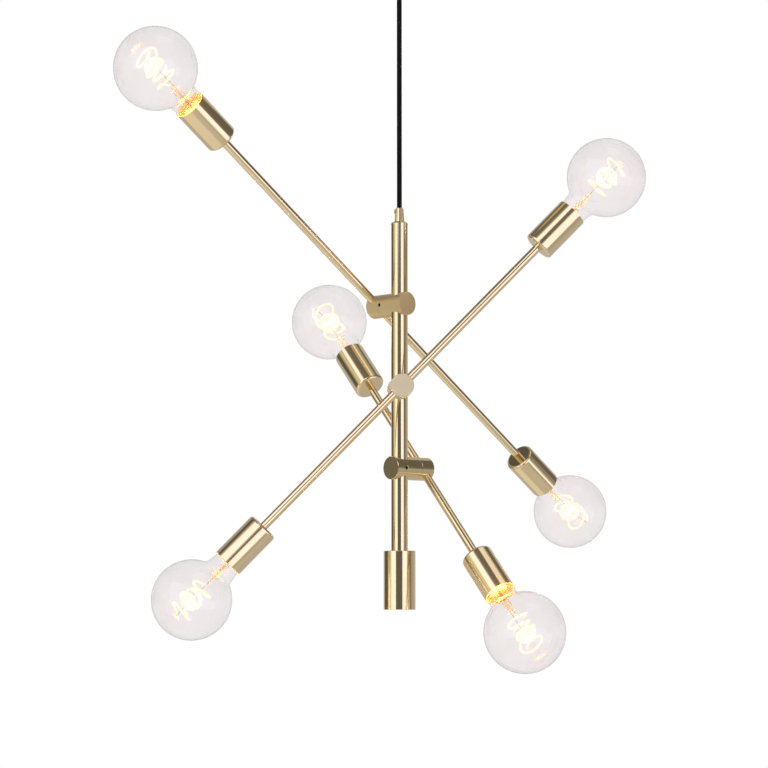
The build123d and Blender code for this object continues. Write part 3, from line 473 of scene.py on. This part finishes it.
# %% [markdown]
# ## The screw cap
#
# The cap is thin nickel-plated brass with a rolled thread of 3.6 mm pitch. The thread is a helix, which a
# spin can't give, so the skin is turned with many plain rings first. Then every point in the threaded
# stretch is moved in or out by its place on the helix, fading out at both ends as the rolling tool left it.

# %% Cap
CAP_RADIUS = 13 * MM
THREAD_DEPTH = 0.6 * MM
THREAD_PITCH = 3.6 * MM
THREAD_FOOT = 8.1 * MM
THREAD_TOP = CAP_HEIGHT - 4.5 * MM
THREAD_RINGS = 44
THREAD_FADE = 2 * MM
CAP_SHEET = 0.35 * MM
CAP_FLARE = 0.3 * MM  # the rim is rolled outwards by this much
CAP_TAPER = 3 * MM
BUTTON_RADIUS = 4.5 * MM
BUTTON_HEIGHT = 1.5 * MM
BUTTON_BEVEL = (1 * MM, 0.6 * MM)
INSULATOR_REACH = 2 * MM
INSULATOR_RISE = 0.4 * MM
SHELL_RISE = 0.6 * MM

core = CAP_RADIUS - THREAD_DEPTH
cap_outline = [
    (0, 0),
    (BUTTON_RADIUS - BUTTON_BEVEL[0], 0),
    (BUTTON_RADIUS, BUTTON_BEVEL[1]),
    (BUTTON_RADIUS, BUTTON_HEIGHT),
    (BUTTON_RADIUS + INSULATOR_REACH, BUTTON_HEIGHT + INSULATOR_RISE),
    (core - CAP_TAPER, BUTTON_HEIGHT + SHELL_RISE),
]
for step in range(THREAD_RINGS + 1):
    cap_outline.append((core, THREAD_FOOT + (THREAD_TOP - THREAD_FOOT) * step / THREAD_RINGS))
cap_outline += [
    (core, CAP_HEIGHT - CAP_FLARE),
    (core + CAP_FLARE, CAP_HEIGHT),
    (core, CAP_HEIGHT),
    (core - CAP_SHEET, CAP_HEIGHT),
    (core - CAP_SHEET, THREAD_FOOT),
    (0, BUTTON_HEIGHT + CAP_TAPER),
]
cap = turn("bulb_cap", cap_outline, steps=72)
for vertex in cap.data.vertices:
    radius = vertex.co.xy.length
    height = vertex.co.z
    if radius < core - CAP_SHEET / 2 or not THREAD_FOOT < height < THREAD_TOP:
        continue
    turned = atan2(vertex.co.y, vertex.co.x) / (2 * pi)
    fade = min(1, (height - THREAD_FOOT) / THREAD_FADE, (THREAD_TOP - height) / THREAD_FADE)
    crest = 0.5 + 0.5 * cos(2 * pi * ((height - THREAD_FOOT) / THREAD_PITCH - turned))
    vertex.co.xy *= (radius + THREAD_DEPTH * crest * fade) / radius
smooth(cap, sharp_above=35)
print("cap", len(cap.data.polygons), "faces")

# %% [markdown]
# Basing cement fills the cap below the glass and glues the two together. It is pale, matt and gritty, and
# it shows through the clear neck. It is turned like the rest, with a hollow in the middle of its top.

# %% Cement
CEMENT_FOOT = THREAD_FOOT + 1 * MM
CEMENT_TOP = NECK_FOOT[1] + 0.4 * MM
CEMENT_RADIUS = core - 0.4 * MM
CEMENT_BEVEL = (0.6 * MM, 0.3 * MM)
CEMENT_SLOPE = (2 * MM, 0.6 * MM)
CEMENT_HOLLOW = 2 * MM

cement = turn(
    "bulb_cement",
    [
        (0, CEMENT_FOOT),
        (CEMENT_RADIUS, CEMENT_FOOT),
        (CEMENT_RADIUS, CEMENT_TOP - CEMENT_BEVEL[1]),
        (CEMENT_RADIUS - CEMENT_BEVEL[0], CEMENT_TOP),
        (MOUNT_RADIUS + CEMENT_SLOPE[0], CEMENT_TOP - CEMENT_SLOPE[1]),
        (MOUNT_RADIUS, CEMENT_TOP - CEMENT_HOLLOW),
        (0, CEMENT_TOP - CEMENT_HOLLOW),
    ],
    steps=48,
)
smooth(cement, sharp_above=35)
print("cement", len(cement.data.polygons), "faces")

# %% [markdown]
# ## Six bulbs
#
# Each of the six bulbs gets its own copy of the six pieces, moved by its own matrix. The pieces ride on
# the bulb's body, so that they come out of the lampholder with it when it is unscrewed.

# %% Copies
PATTERNS = {
    "envelope": (envelope, "clear_glass", "glass"),
    "mount": (mount, "clear_glass", "glass"),
    "coil": (coil, "led_filament", "filament"),
    "leads": (leads, "nickel_cap", "filament"),
    "screw_cap": (cap, "nickel_cap", "cap"),
    "cement": (cement, "glazed_ceramic", "cap"),
}
bulb_pieces = {part: {} for part in PATTERNS}
for bulb in BULBS:
    for part, (pattern, slot, node) in PATTERNS.items():
        piece = copy_of(pattern, f"{bulb}_{part}", PLACES[bulb])
        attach(piece, bulb)
        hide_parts(f"{bulb}_{node}")
        bulb_pieces[part][bulb] = piece
for pattern, _, _ in PATTERNS.values():
    bpy.data.objects.remove(pattern)
print(len(BULBS) * len(PATTERNS), "pieces in", len(BULBS), "bulbs")

# %% [markdown]
# The filament is thin, so a renderer finds it slowly as a source of light. A small warm lamp in each
# coil's middle does that work: it throws the orange light into the neck, the mount and the cup's mouth.
# Lamp and coil are linked to their own bulb and lampholder, because a few rays that find them by way of a
# distant rod would only make it look flecked. The coil is left out, as a lamp so near would bleach it.

# %% Warm light of each bulb
COIL_LIGHT_WATTS = 1.6
COIL_LIGHT_COLOUR = "FFCB90"

for bulb in BULBS:
    arm = bulb.split("_")[0]
    lamp = bpy.data.lights.new(f"{bulb}_light", "POINT")
    lamp.energy = COIL_LIGHT_WATTS
    lamp.color = linear(COIL_LIGHT_COLOUR)[:3]
    lamp.shadow_soft_size = COIL_RADIUS
    source = bpy.data.objects.new(f"{bulb}_light", lamp)
    source.location = PLACES[bulb] @ Vector((0, 0, GLOBE_HEIGHT))
    source.visible_camera = False
    source.visible_transmission = False
    bpy.context.scene.collection.objects.link(source)
    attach(source, bulb)
    lit = bpy.data.collections.new(f"{bulb}_lit")
    for part in ("envelope", "mount", "leads", "screw_cap", "cement"):
        lit.objects.link(bulb_pieces[part][bulb])
    for node in ("cups", "inserts", "contacts"):
        lit.objects.link(frame["nodes"][f"{arm}_lampholder_{node}"])
    source.light_linking.receiver_collection = lit
    bulb_pieces["coil"][bulb].light_linking.receiver_collection = lit
print(len(bpy.data.lights), "lamps")

# %% [markdown]
# ## Brass, polished and lacquered
#
# Rods, cups, stem and canopy are brass tube and sheet, turned and polished on a lathe and then lacquered
# clear. It mirrors almost sharply. The last polish runs round the piece, so the faint lines are rings:
# their pattern reads only the height along the piece's own axis, which a Mapping node of type Texture
# turns upright. Real lines are some 0.02 mm apart; these are drawn every millimetre, or they would not
# show. Handling leaves wide, soft smears in the lacquer, which change its roughness and colour a little.
#
# A cup is drawn from sheet and polished only where a hand reaches. Its inside stays matt and a little
# redder, and the bulb's light turns it golden. One mask finds it: near the rod's axis and beyond a
# distance along it. The outside lies too far from the axis, and the rod, but for its threaded ends in the
# cups, too near the arm's middle.

# %% Metal
RING_SPACING = 1.1 * MM
RING_SHARE = 0.35  # of the rings in the roughness, next to the smears
SMEAR_WIDTH = 28 * MM
PIT_SIZE = 3 * MM
DRAWN_INSIDE = "E8C27E"
DRAWN_ROUGHNESS = 0.55


def along(direction):
    """Euler turn that lays a pattern's upright axis along a direction."""
    return Vector(direction).to_track_quat("Z", "Y").to_euler()


def inside_cups(tree, place, height, radius, distance):
    """1 within a radius of the pattern's axis and beyond a distance along it, both ways; 0 elsewhere."""
    flat = add_node(tree, "ShaderNodeVectorMath", {"operation": "MULTIPLY", 1: (1, 1, 0)}, {0: place})
    off_axis = add_node(tree, "ShaderNodeVectorMath", {"operation": "LENGTH"}, {0: flat.outputs[0]})
    near = add_node(
        tree, "ShaderNodeMath", {"operation": "LESS_THAN", 1: radius}, {0: off_axis.outputs["Value"]}
    )
    either_way = add_node(tree, "ShaderNodeMath", {"operation": "ABSOLUTE"}, {0: height})
    far = add_node(
        tree, "ShaderNodeMath", {"operation": "GREATER_THAN", 1: distance}, {0: either_way.outputs[0]}
    )
    inside = add_node(
        tree, "ShaderNodeMath", {"operation": "MULTIPLY"}, {0: near.outputs[0], 1: far.outputs[0]}
    )
    return inside.outputs[0]


def metal(name, colours, roughness, spread, axis=(0, 0, 1), ring_depth=0.0008 * MM, pits=0.0, cups=None):
    """Bare or lacquered metal with turning rings round an axis and soft smears from one colour to another.

    cups gives the middle between an arm's two cups, and the radius and distance that find their insides.
    """
    material, tree, output = new_material(name)
    place = add_node(tree, "ShaderNodeTexCoord").outputs["Object"]
    middle = cups[0] if cups else (0, 0, 0)
    turned = add_node(
        tree,
        "ShaderNodeMapping",
        {"vector_type": "TEXTURE", "Rotation": along(axis), "Location": middle},
        {"Vector": place},
    )
    height = add_node(tree, "ShaderNodeSeparateXYZ", {}, {"Vector": turned.outputs[0]})
    rings = add_node(
        tree,
        "ShaderNodeTexNoise",
        {"noise_dimensions": "1D", "Scale": 1 / RING_SPACING, "Detail": 3.0, "Roughness": 0.6},
        {"W": height.outputs["Z"]},
    )
    smears = add_node(
        tree,
        "ShaderNodeTexNoise",
        {"Scale": 1 / SMEAR_WIDTH, "Detail": 4.0, "Distortion": 0.6},
        {"Vector": place},
    )
    colour = add_node(
        tree,
        "ShaderNodeMix",
        {"data_type": "RGBA", 6: linear(colours[0]), 7: linear(colours[1])},
        {0: smears.outputs["Fac"]},
    )
    both = add_node(
        tree,
        "ShaderNodeMath",
        {"operation": "MULTIPLY_ADD", 1: RING_SHARE},
        {0: rings.outputs["Fac"], 2: smears.outputs["Fac"]},
    )
    rough = add_node(
        tree,
        "ShaderNodeMapRange",
        {"From Min": 0.35, "From Max": 1.0, "To Min": roughness - spread, "To Max": roughness + spread},
        {"Value": both.outputs[0]},
    )
    bump = add_node(
        tree, "ShaderNodeBump", {"Strength": 0.6, "Distance": ring_depth}, {"Height": rings.outputs["Fac"]}
    )
    if pits:
        grain = add_node(
            tree, "ShaderNodeTexNoise", {"Scale": 1 / PIT_SIZE, "Detail": 5.0}, {"Vector": place}
        )
        bump = add_node(
            tree,
            "ShaderNodeBump",
            {"Strength": 1.0, "Distance": pits},
            {"Height": grain.outputs["Fac"], "Normal": bump.outputs["Normal"]},
        )
    if cups:
        within = inside_cups(tree, turned.outputs[0], height.outputs["Z"], *cups[1:])
        colour = add_node(
            tree,
            "ShaderNodeMix",
            {"data_type": "RGBA", 7: linear(DRAWN_INSIDE)},
            {0: within, 6: colour.outputs[2]},
        )
        rough = add_node(tree, "ShaderNodeMix", {3: DRAWN_ROUGHNESS}, {0: within, 2: rough.outputs[0]})
    shader = add_node(
        tree,
        "ShaderNodeBsdfPrincipled",
        {"Metallic": 1.0},
        {
            "Base Color": colour.outputs[2],
            "Roughness": rough.outputs[0],
            "Normal": bump.outputs["Normal"],
        },
    )
    tree.links.new(shader.outputs[0], output.inputs["Surface"])
    return material


def dress(material, *nodes):
    """Give CAD nodes a material."""
    for node in nodes:
        data = frame["nodes"][node].data
        data.materials.clear()
        data.materials.append(material)


# %% Polished brass
POLISHED = ("F0DAB0", "E9D2A2")
POLISHED_ROUGHNESS = 0.11
POLISHED_SPREAD = 0.02
CUP_WALL = 1.2 * MM
CUP_INSIDE_DEPTH = 58.5 * MM  # from the mouth to the floor

stem_brass = metal("polished_brass_stem", POLISHED, POLISHED_ROUGHNESS, POLISHED_SPREAD)
dress(
    stem_brass,
    "stem_tube",
    "stem_top_cap",
    "end_cup",
    "end_cup_lid",
    "cord_grip",
    "cord_grip_screw",
    "ceiling_canopy",
    "canopy_gland",
    "canopy_screws",
)
for arm in ARMS:
    rod_axis = joint_axis(f"{arm}_high_bulb_out")
    knuckle_axis = joint_axis(f"{arm}_tilt")
    cups = f"{arm}_lampholder_cups"
    mouth_low, mouth_high = reach(cups, rod_axis)
    cup_left, cup_right = reach(cups, knuckle_axis)
    rod_brass = metal(
        f"polished_brass_{arm}_arm",
        POLISHED,
        POLISHED_ROUGHNESS,
        POLISHED_SPREAD,
        axis=rod_axis,
        cups=(
            middle_of(cups, (rod_axis, knuckle_axis, rod_axis.cross(knuckle_axis))),
            (cup_right - cup_left) / 2 - CUP_WALL / 2,
            (mouth_high - mouth_low) / 2 - CUP_INSIDE_DEPTH,
        ),
    )
    dress(rod_brass, f"{arm}_arm_rod", cups)
    print(f"{arm} cups {(mouth_high - mouth_low) / MM:.0f} mm from mouth to mouth")

# %% [markdown]
# The knuckles are turned from brass bar and left satin, with coarser rings than the polished tubes have.
# All three are probably alike, but the picture shows the lower one dark and sharp and the middle one pale
# and soft. The tent alone doesn't give that, so each has a roughness and a tint matched to the picture. The
# tints are painted light: the middle one's paler tint is a painted sheen, and the lower one's slightly darker
# tint is painted shade.

# %% Satin brass
# Two colours for each knuckle. Their differences are painted light: the middle one is paler as a painted
# sheen, and the lower one a little darker as painted shade.
SATIN_TINTS_WITH_PAINTED_LIGHT = {
    "upper": ("EDD7A9", "E1C995"),
    "middle": ("F8EDCB", "F2E4BD"),
    "lower": ("EBD5A5", "DFC791"),
}
SATIN_ROUGHNESS = {"upper": 0.44, "middle": 0.68, "lower": 0.15}
SATIN_SPREAD = 0.03
SATIN_RING_DEPTH = 0.002 * MM

for arm in ARMS:
    knuckle_brass_with_painted_light = metal(
        f"satin_brass_with_painted_light_{arm}_knuckle",
        SATIN_TINTS_WITH_PAINTED_LIGHT[arm],
        SATIN_ROUGHNESS[arm],
        SATIN_SPREAD,
        axis=joint_axis(f"{arm}_tilt"),
        ring_depth=SATIN_RING_DEPTH,
    )
    dress(knuckle_brass_with_painted_light, f"{arm}_knuckle_base", f"{arm}_knuckle_head")
print("satin brass on", len(ARMS), "knuckles")

# %% [markdown]
# ## The hidden metals, plastics and ceramic
#
# Most of these pieces sit inside the cups, knuckles and canopy and come into view only when something
# is turned, slid or unscrewed. Pressed contact brass stays bare and dull, nuts and bracket are zinc plated
# steel with a faint bluish bloom, the grub screws are blackened, and the bulbs' caps are nickel plated.

# %% Hidden metals
bare_brass = metal("bare_pressed_brass", ("D9BE86", "BE9C5E"), 0.32, 0.08, pits=0.02 * MM)
zinc = metal("zinc_plated_steel", ("C9CBCC", "A9ADB2"), 0.36, 0.07, pits=0.03 * MM)
black_steel = metal("blackened_steel", ("3A3A3C", "27272A"), 0.42, 0.06, pits=0.02 * MM)
nickel = metal("nickel_plated_brass", ("CFC8BC", "B8B0A2"), 0.24, 0.06)
dress(bare_brass, "end_cup_nipple", "end_cup_nut")
dress(zinc, "ceiling_bracket")
for arm in ARMS:
    dress(bare_brass, f"{arm}_pivot_tube", f"{arm}_lampholder_contacts")
    dress(zinc, f"{arm}_rod_nuts")
    dress(black_steel, f"{arm}_grub_screws")
for bulb in BULBS:
    bulb_pieces["screw_cap"][bulb].data.materials.append(nickel)
    bulb_pieces["leads"][bulb].data.materials.append(nickel)

# %% [markdown]
# Moulded plastic and glazed ceramic are both pale and smooth, but plastic scatters a broad highlight off
# its fine spark-eroded grain, while a glaze is a clear glassy coat with an orange-peel ripple. The cord's
# sheath is soft black rubbery plastic, with a slight lengthwise drag from the extruder's die. Basing cement
# is a matt grit.

# %% Plastics and ceramic
MOULDED_SPREAD = 0.06


def moulded(name, colour, shade, roughness, grain, depth, coat=0.0, stretch=1.0, specular=0.5):
    """Plastic, ceramic or grit with a surface grain, stretched along the upright axis for extrusions."""
    material, tree, output = new_material(name)
    place = add_node(tree, "ShaderNodeTexCoord").outputs["Object"]
    scaled = add_node(
        tree,
        "ShaderNodeMapping",
        {"vector_type": "TEXTURE", "Scale": (grain, grain, grain * stretch)},
        {"Vector": place},
    )
    noise = add_node(tree, "ShaderNodeTexNoise", {"Scale": 1.0, "Detail": 4.0}, {"Vector": scaled.outputs[0]})
    tint = add_node(
        tree,
        "ShaderNodeMix",
        {"data_type": "RGBA", 6: linear(colour), 7: linear(shade)},
        {0: noise.outputs["Fac"]},
    )
    rough = add_node(
        tree,
        "ShaderNodeMapRange",
        {"To Min": roughness - MOULDED_SPREAD, "To Max": roughness + MOULDED_SPREAD},
        {"Value": noise.outputs["Fac"]},
    )
    bump = add_node(
        tree, "ShaderNodeBump", {"Strength": 0.5, "Distance": depth}, {"Height": noise.outputs["Fac"]}
    )
    shader = add_node(
        tree,
        "ShaderNodeBsdfPrincipled",
        {"Coat Weight": coat, "Coat Roughness": 0.05, "Specular IOR Level": specular},
        {"Base Color": tint.outputs[2], "Roughness": rough.outputs[0], "Normal": bump.outputs["Normal"]},
    )
    tree.links.new(shader.outputs[0], output.inputs["Surface"])
    return material


sheath = moulded(
    "extruded_cord_sheath", "121013", "151316", 0.75, 0.6 * MM, 0.001 * MM, stretch=30, specular=0.04
)
plastic = moulded("moulded_terminal_plastic", "ECE9E1", "E2DED3", 0.4, 0.8 * MM, 0.01 * MM)
ceramic = moulded("glazed_ceramic", "EFEBE0", "E6E1D2", 0.18, 6 * MM, 0.05 * MM, coat=0.6)
cement_finish = moulded("basing_cement", "EADDC0", "D9C9A6", 0.85, 0.9 * MM, 0.02 * MM, specular=0.2)
cord.data.materials.append(sheath)
for piece in bulb_pieces["cement"].values():
    piece.data.materials.append(cement_finish)
dress(plastic, "ceiling_terminal_block", "junction_block")
for arm in ARMS:
    dress(ceramic, f"{arm}_lampholder_inserts")

# %% [markdown]
# ## Clear glass
#
# The globes are thin clear glass with an IOR of 1.5. Each of their four surfaces mirrors a few percent of
# the light, which alone makes the globe a shade darker than the white behind it. A very fine wave, as
# blown glass has, bends the reflections. The mount was pressed while soft: its skin is uneven, and a
# little of the light scatters in it. Shadow rays pass straight through both, so that the filament's light
# reaches the cup's mouth.

# %% Glass
GLASS_IOR = 1.5
MOUNT_HAZE = 0.025
HAZE_COLOUR = "FFF1DA"


def clear_glass(name, colour, shadow_colour, roughness, wave, detail, strength, depth, haze=0.0):
    """Clear glass with a wave of this width and depth in its skin, and a share of haze."""
    material, tree, output = new_material(name)
    place = add_node(tree, "ShaderNodeTexCoord").outputs["Object"]
    ripple = add_node(tree, "ShaderNodeTexNoise", {"Scale": 1 / wave, "Detail": detail}, {"Vector": place})
    bump = add_node(
        tree, "ShaderNodeBump", {"Strength": strength, "Distance": depth}, {"Height": ripple.outputs["Fac"]}
    )
    body = add_node(
        tree,
        "ShaderNodeBsdfPrincipled",
        {"Base Color": linear(colour), "Roughness": roughness, "IOR": GLASS_IOR, "Transmission Weight": 1.0},
        {"Normal": bump.outputs["Normal"]},
    )
    if haze:
        milk = add_node(tree, "ShaderNodeBsdfTranslucent", {"Color": linear(HAZE_COLOUR)})
        body = add_node(tree, "ShaderNodeMixShader", {0: haze}, {1: body.outputs[0], 2: milk.outputs[0]})
    through = add_node(tree, "ShaderNodeBsdfTransparent", {"Color": linear(shadow_colour)})
    ray = add_node(tree, "ShaderNodeLightPath")
    surface = add_node(
        tree,
        "ShaderNodeMixShader",
        {},
        {0: ray.outputs["Is Shadow Ray"], 1: body.outputs[0], 2: through.outputs[0]},
    )
    tree.links.new(surface.outputs[0], output.inputs["Surface"])
    return material


blown = clear_glass("blown_clear_glass", "F7F4F4", "F8F8F8", 0.0, 22 * MM, 1.0, 0.5, 0.025 * MM)
pressed = clear_glass("pressed_mount_glass", "FFFAF0", "FFFAF0", 0.05, 3 * MM, 2.0, 0.6, 0.2 * MM, MOUNT_HAZE)
for bulb in BULBS:
    bulb_pieces["envelope"][bulb].data.materials.append(blown)
    bulb_pieces["mount"][bulb].data.materials.append(pressed)
print("glass on", 2 * len(BULBS), "pieces")

# %% [markdown]
# ## The glowing filament
#
# The filament's silicone is loaded with yellow phosphor and lit from inside by its LEDs. Alight it looks
# almost white, a little paler or warmer from place to place. It is drawn hardly brighter than the white
# behind it, or it would be a flat white shape. Its warm halo is made at the end, in the finished picture.

# %% Filament
FILAMENT_GLOW = 1.2
FILAMENT_LIGHT = ("FFE8DA", "FFE2CC")
PHOSPHOR = "6A5A38"
CHIP_SPACING = 1.6 * MM

filament_finish, tree, output = new_material("glowing_silicone_filament")
place = add_node(tree, "ShaderNodeTexCoord").outputs["Object"]
chips = add_node(tree, "ShaderNodeTexNoise", {"Scale": 1 / CHIP_SPACING, "Detail": 1.0}, {"Vector": place})
chip_light = add_node(
    tree,
    "ShaderNodeMix",
    {"data_type": "RGBA", 6: linear(FILAMENT_LIGHT[0]), 7: linear(FILAMENT_LIGHT[1])},
    {0: chips.outputs["Fac"]},
)
silicone = add_node(
    tree,
    "ShaderNodeBsdfPrincipled",
    {"Base Color": linear(PHOSPHOR), "Roughness": 0.5, "Emission Strength": FILAMENT_GLOW},
    {"Emission Color": chip_light.outputs[2]},
)
tree.links.new(silicone.outputs[0], output.inputs["Surface"])
for piece in bulb_pieces["coil"].values():
    piece.data.materials.append(filament_finish)
print("filaments", len(bulb_pieces["coil"]))

# %% [markdown]
# ## A light tent
#
# Polished metal tints what stands around it and shows little else. The brass in the photograph seems to
# mirror two big soft boxes left and right of the camera, the dark gap between them, dark screens at the
# sides and a pale floor. They are painted on the world by direction, as patches with soft edges in azimuth
# (0 towards the camera, growing to the right) and elevation, so every view sees one tent. The camera, and
# what it sees through glass, get plain white instead.

# %% World
WORLD_LEVEL = 0.45
DAYLIGHT = "E7E7FF"  # the boxes' lamps are a little cooler than the rest
# name, level, tint, then in degrees: azimuth from and to, elevation from and to, and the soft edge;
# later ones lie on top of earlier ones
PATCHES = [
    ("floor", 0.82, "FFFFFF", (-400, 400), (-120, -45), 12),
    ("floor_right", 0.60, "FFFFFF", (30, 170), (-120, -34), 12),
    ("backdrop_left", 0.56, "FFFFFF", (-400, -140), (-45, 15), 8),
    ("backdrop_right", 0.56, "FFFFFF", (128, 400), (-45, 60), 8),
    ("low_wall_left", 0.58, "FFFFFF", (-146, -98), (-30, -1), 5),
    ("wall_left", 0.80, "FFFBCB", (-86, -60), (-34, 24), 5),
    ("wall_right", 0.60, "F4F4FF", (94, 150), (-52, -4), 6),
    ("dark_screen_left", 0.11, "FFFFFF", (-136, -95), (-5, 12), 4),
    ("dark_screen_high_left", 0.10, "FFFFFF", (-142, -84), (40, 62), 8),
    ("dark_top_left", 0.17, "FFFFFF", (-140, 4), (48, 120), 8),
    ("top_right", 1.00, "FFFFFF", (12, 94), (60, 82), 8),
    ("dark_screen_right", 0.20, "FFFFFF", (62, 94), (-2, 12), 6),
    ("dark_screen_high_right", 0.15, "FFFFFF", (72, 138), (8, 58), 6),
    ("soft_box_left", 1.73, DAYLIGHT, (-62, -27), (-14, 42), 5),
    ("soft_box_left_middle", 1.73, DAYLIGHT, (-62, -9), (9, 20), 5),
    ("soft_box_left_top", 1.73, DAYLIGHT, (-72, -4), (18, 43), 5),
    ("soft_box_right", 1.73, DAYLIGHT, (21, 58), (-27, 13), 5),
    ("soft_box_right_low", 1.73, DAYLIGHT, (10, 79), (-23, -1), 4),
    ("dark_camera_side", 0.13, "FFFFFF", (-27, 20), (-5, 9), 4),
    ("dark_camera_top", 0.17, "FFFFFF", (-5, 20), (9, 27), 4),
]

world = bpy.data.worlds.new("light_tent")
bpy.context.scene.world = world
world.use_nodes = True
sky = world.node_tree
sky.nodes.clear()
looking = add_node(sky, "ShaderNodeTexCoord")
heading = add_node(sky, "ShaderNodeSeparateXYZ", {}, {"Vector": looking.outputs["Generated"]})
towards = add_node(sky, "ShaderNodeMath", {"operation": "MULTIPLY", 1: -1.0}, {0: heading.outputs["Y"]})
azimuth = add_node(
    sky, "ShaderNodeMath", {"operation": "ARCTAN2"}, {0: heading.outputs["X"], 1: towards.outputs[0]}
)
elevation = add_node(sky, "ShaderNodeMath", {"operation": "ARCSINE"}, {0: heading.outputs["Z"]})


def window(angle, low, high, soft):
    """1 between two angles, 0 outside, with soft edges."""
    edges = []
    for edge, rising in ((low, 1), (high, -1)):
        ramp = add_node(
            sky,
            "ShaderNodeMapRange",
            {
                "interpolation_type": "SMOOTHSTEP",
                "From Min": radians(edge - rising * soft / 2),
                "From Max": radians(edge + rising * soft / 2),
            },
            {"Value": angle.outputs[0]},
        )
        edges.append(ramp.outputs[0])
    return add_node(sky, "ShaderNodeMath", {"operation": "MULTIPLY"}, dict(enumerate(edges)))


tent = add_node(sky, "ShaderNodeRGB")
tent.outputs[0].default_value = (WORLD_LEVEL, WORLD_LEVEL, WORLD_LEVEL, 1)
for name, level, tint, across, height, soft in PATCHES:
    mask = add_node(
        sky,
        "ShaderNodeMath",
        {"operation": "MULTIPLY", "label": name},
        {0: window(azimuth, *across, soft).outputs[0], 1: window(elevation, *height, soft).outputs[0]},
    )
    light = [level * channel for channel in linear(tint)[:3]] + [1]
    tent = add_node(
        sky,
        "ShaderNodeMix",
        {"data_type": "RGBA", 7: light},
        {0: mask.outputs[0], 6: tent.outputs[0 if tent.type == "RGB" else 2]},
    )
tent_light = add_node(sky, "ShaderNodeBackground", {}, {"Color": tent.outputs[2]})
plain_light = add_node(sky, "ShaderNodeBackground", {"Color": linear("FFFFFF")})
ray = add_node(sky, "ShaderNodeLightPath")
through = add_node(
    sky,
    "ShaderNodeMath",
    {"operation": "MAXIMUM"},
    {0: ray.outputs["Is Camera Ray"], 1: ray.outputs["Is Transmission Ray"]},
)
sky_mix = add_node(
    sky,
    "ShaderNodeMixShader",
    {},
    {0: through.outputs[0], 1: tent_light.outputs[0], 2: plain_light.outputs[0]},
)
add_node(sky, "ShaderNodeOutputWorld", {}, {"Surface": sky_mix.outputs[0]})
print(len(PATCHES), "patches,", len(sky.nodes), "world nodes")

# %% [markdown]
# ## The floor
#
# The lamp hangs over a plain pale floor, well below the picture's lower edge, that shows in views from
# above. The brass doesn't mirror it, but the tent's own floor patch. A little glow of its own stands in
# for lamps that would light the floor alone.

# %% Floor
FLOOR_DROP = 2.4
FLOOR_SIZE = 12
FLOOR_GLOW = 0.42

deselect()
bpy.ops.mesh.primitive_plane_add(size=FLOOR_SIZE, location=(0, 0, -FLOOR_DROP))
floor = bpy.context.object
floor.name = "studio_floor"
bpy.ops.object.mode_set(mode="EDIT")
bpy.ops.mesh.subdivide(number_cuts=8)
bpy.ops.object.mode_set(mode="OBJECT")
settle(floor)
floor.visible_glossy = False
floor_paint = moulded("painted_studio_floor", "FAFAF8", "F6F6F4", 0.6, 40 * MM, 0.1 * MM)
floor_shader = next(node for node in floor_paint.node_tree.nodes if node.type == "BSDF_PRINCIPLED")
floor_shader.inputs["Emission Color"].default_value = linear("FFFFFF")
floor_shader.inputs["Emission Strength"].default_value = FLOOR_GLOW
floor.data.materials.append(floor_paint)
print("floor", FLOOR_SIZE, "m wide")

# %% [markdown]
# ## Exposure and bloom
#
# Colours are shown by the plain Standard transform, so that white stays white. Around a lit filament a
# lens spreads a soft warm halo, which compositor nodes add to the finished picture. Only what is brighter
# than the white background blooms.

# %% Exposure and bloom
BLOOM_THRESHOLD = 1.03
BLOOM_STRENGTH = 0.35
BLOOM_SIZE = 0.3
BLOOM_TINT = "FFE2B0"

bpy.context.scene.view_settings.view_transform = "Standard"
bpy.context.scene.use_nodes = True
darkroom = bpy.context.scene.node_tree
darkroom.nodes.clear()
picture = add_node(darkroom, "CompositorNodeRLayers")
halo = add_node(
    darkroom,
    "CompositorNodeGlare",
    {
        "glare_type": "BLOOM",
        "Threshold": BLOOM_THRESHOLD,
        "Strength": BLOOM_STRENGTH,
        "Size": BLOOM_SIZE,
        "Tint": linear(BLOOM_TINT),
    },
    {"Image": picture.outputs["Image"]},
)
add_node(darkroom, "CompositorNodeComposite", {}, {"Image": halo.outputs["Image"]})
print("bloom above", BLOOM_THRESHOLD)

# %% [markdown]
# ## Last step
#
# At the end the view layer is brought up to date.

# %% Finish
bpy.context.view_layer.update()
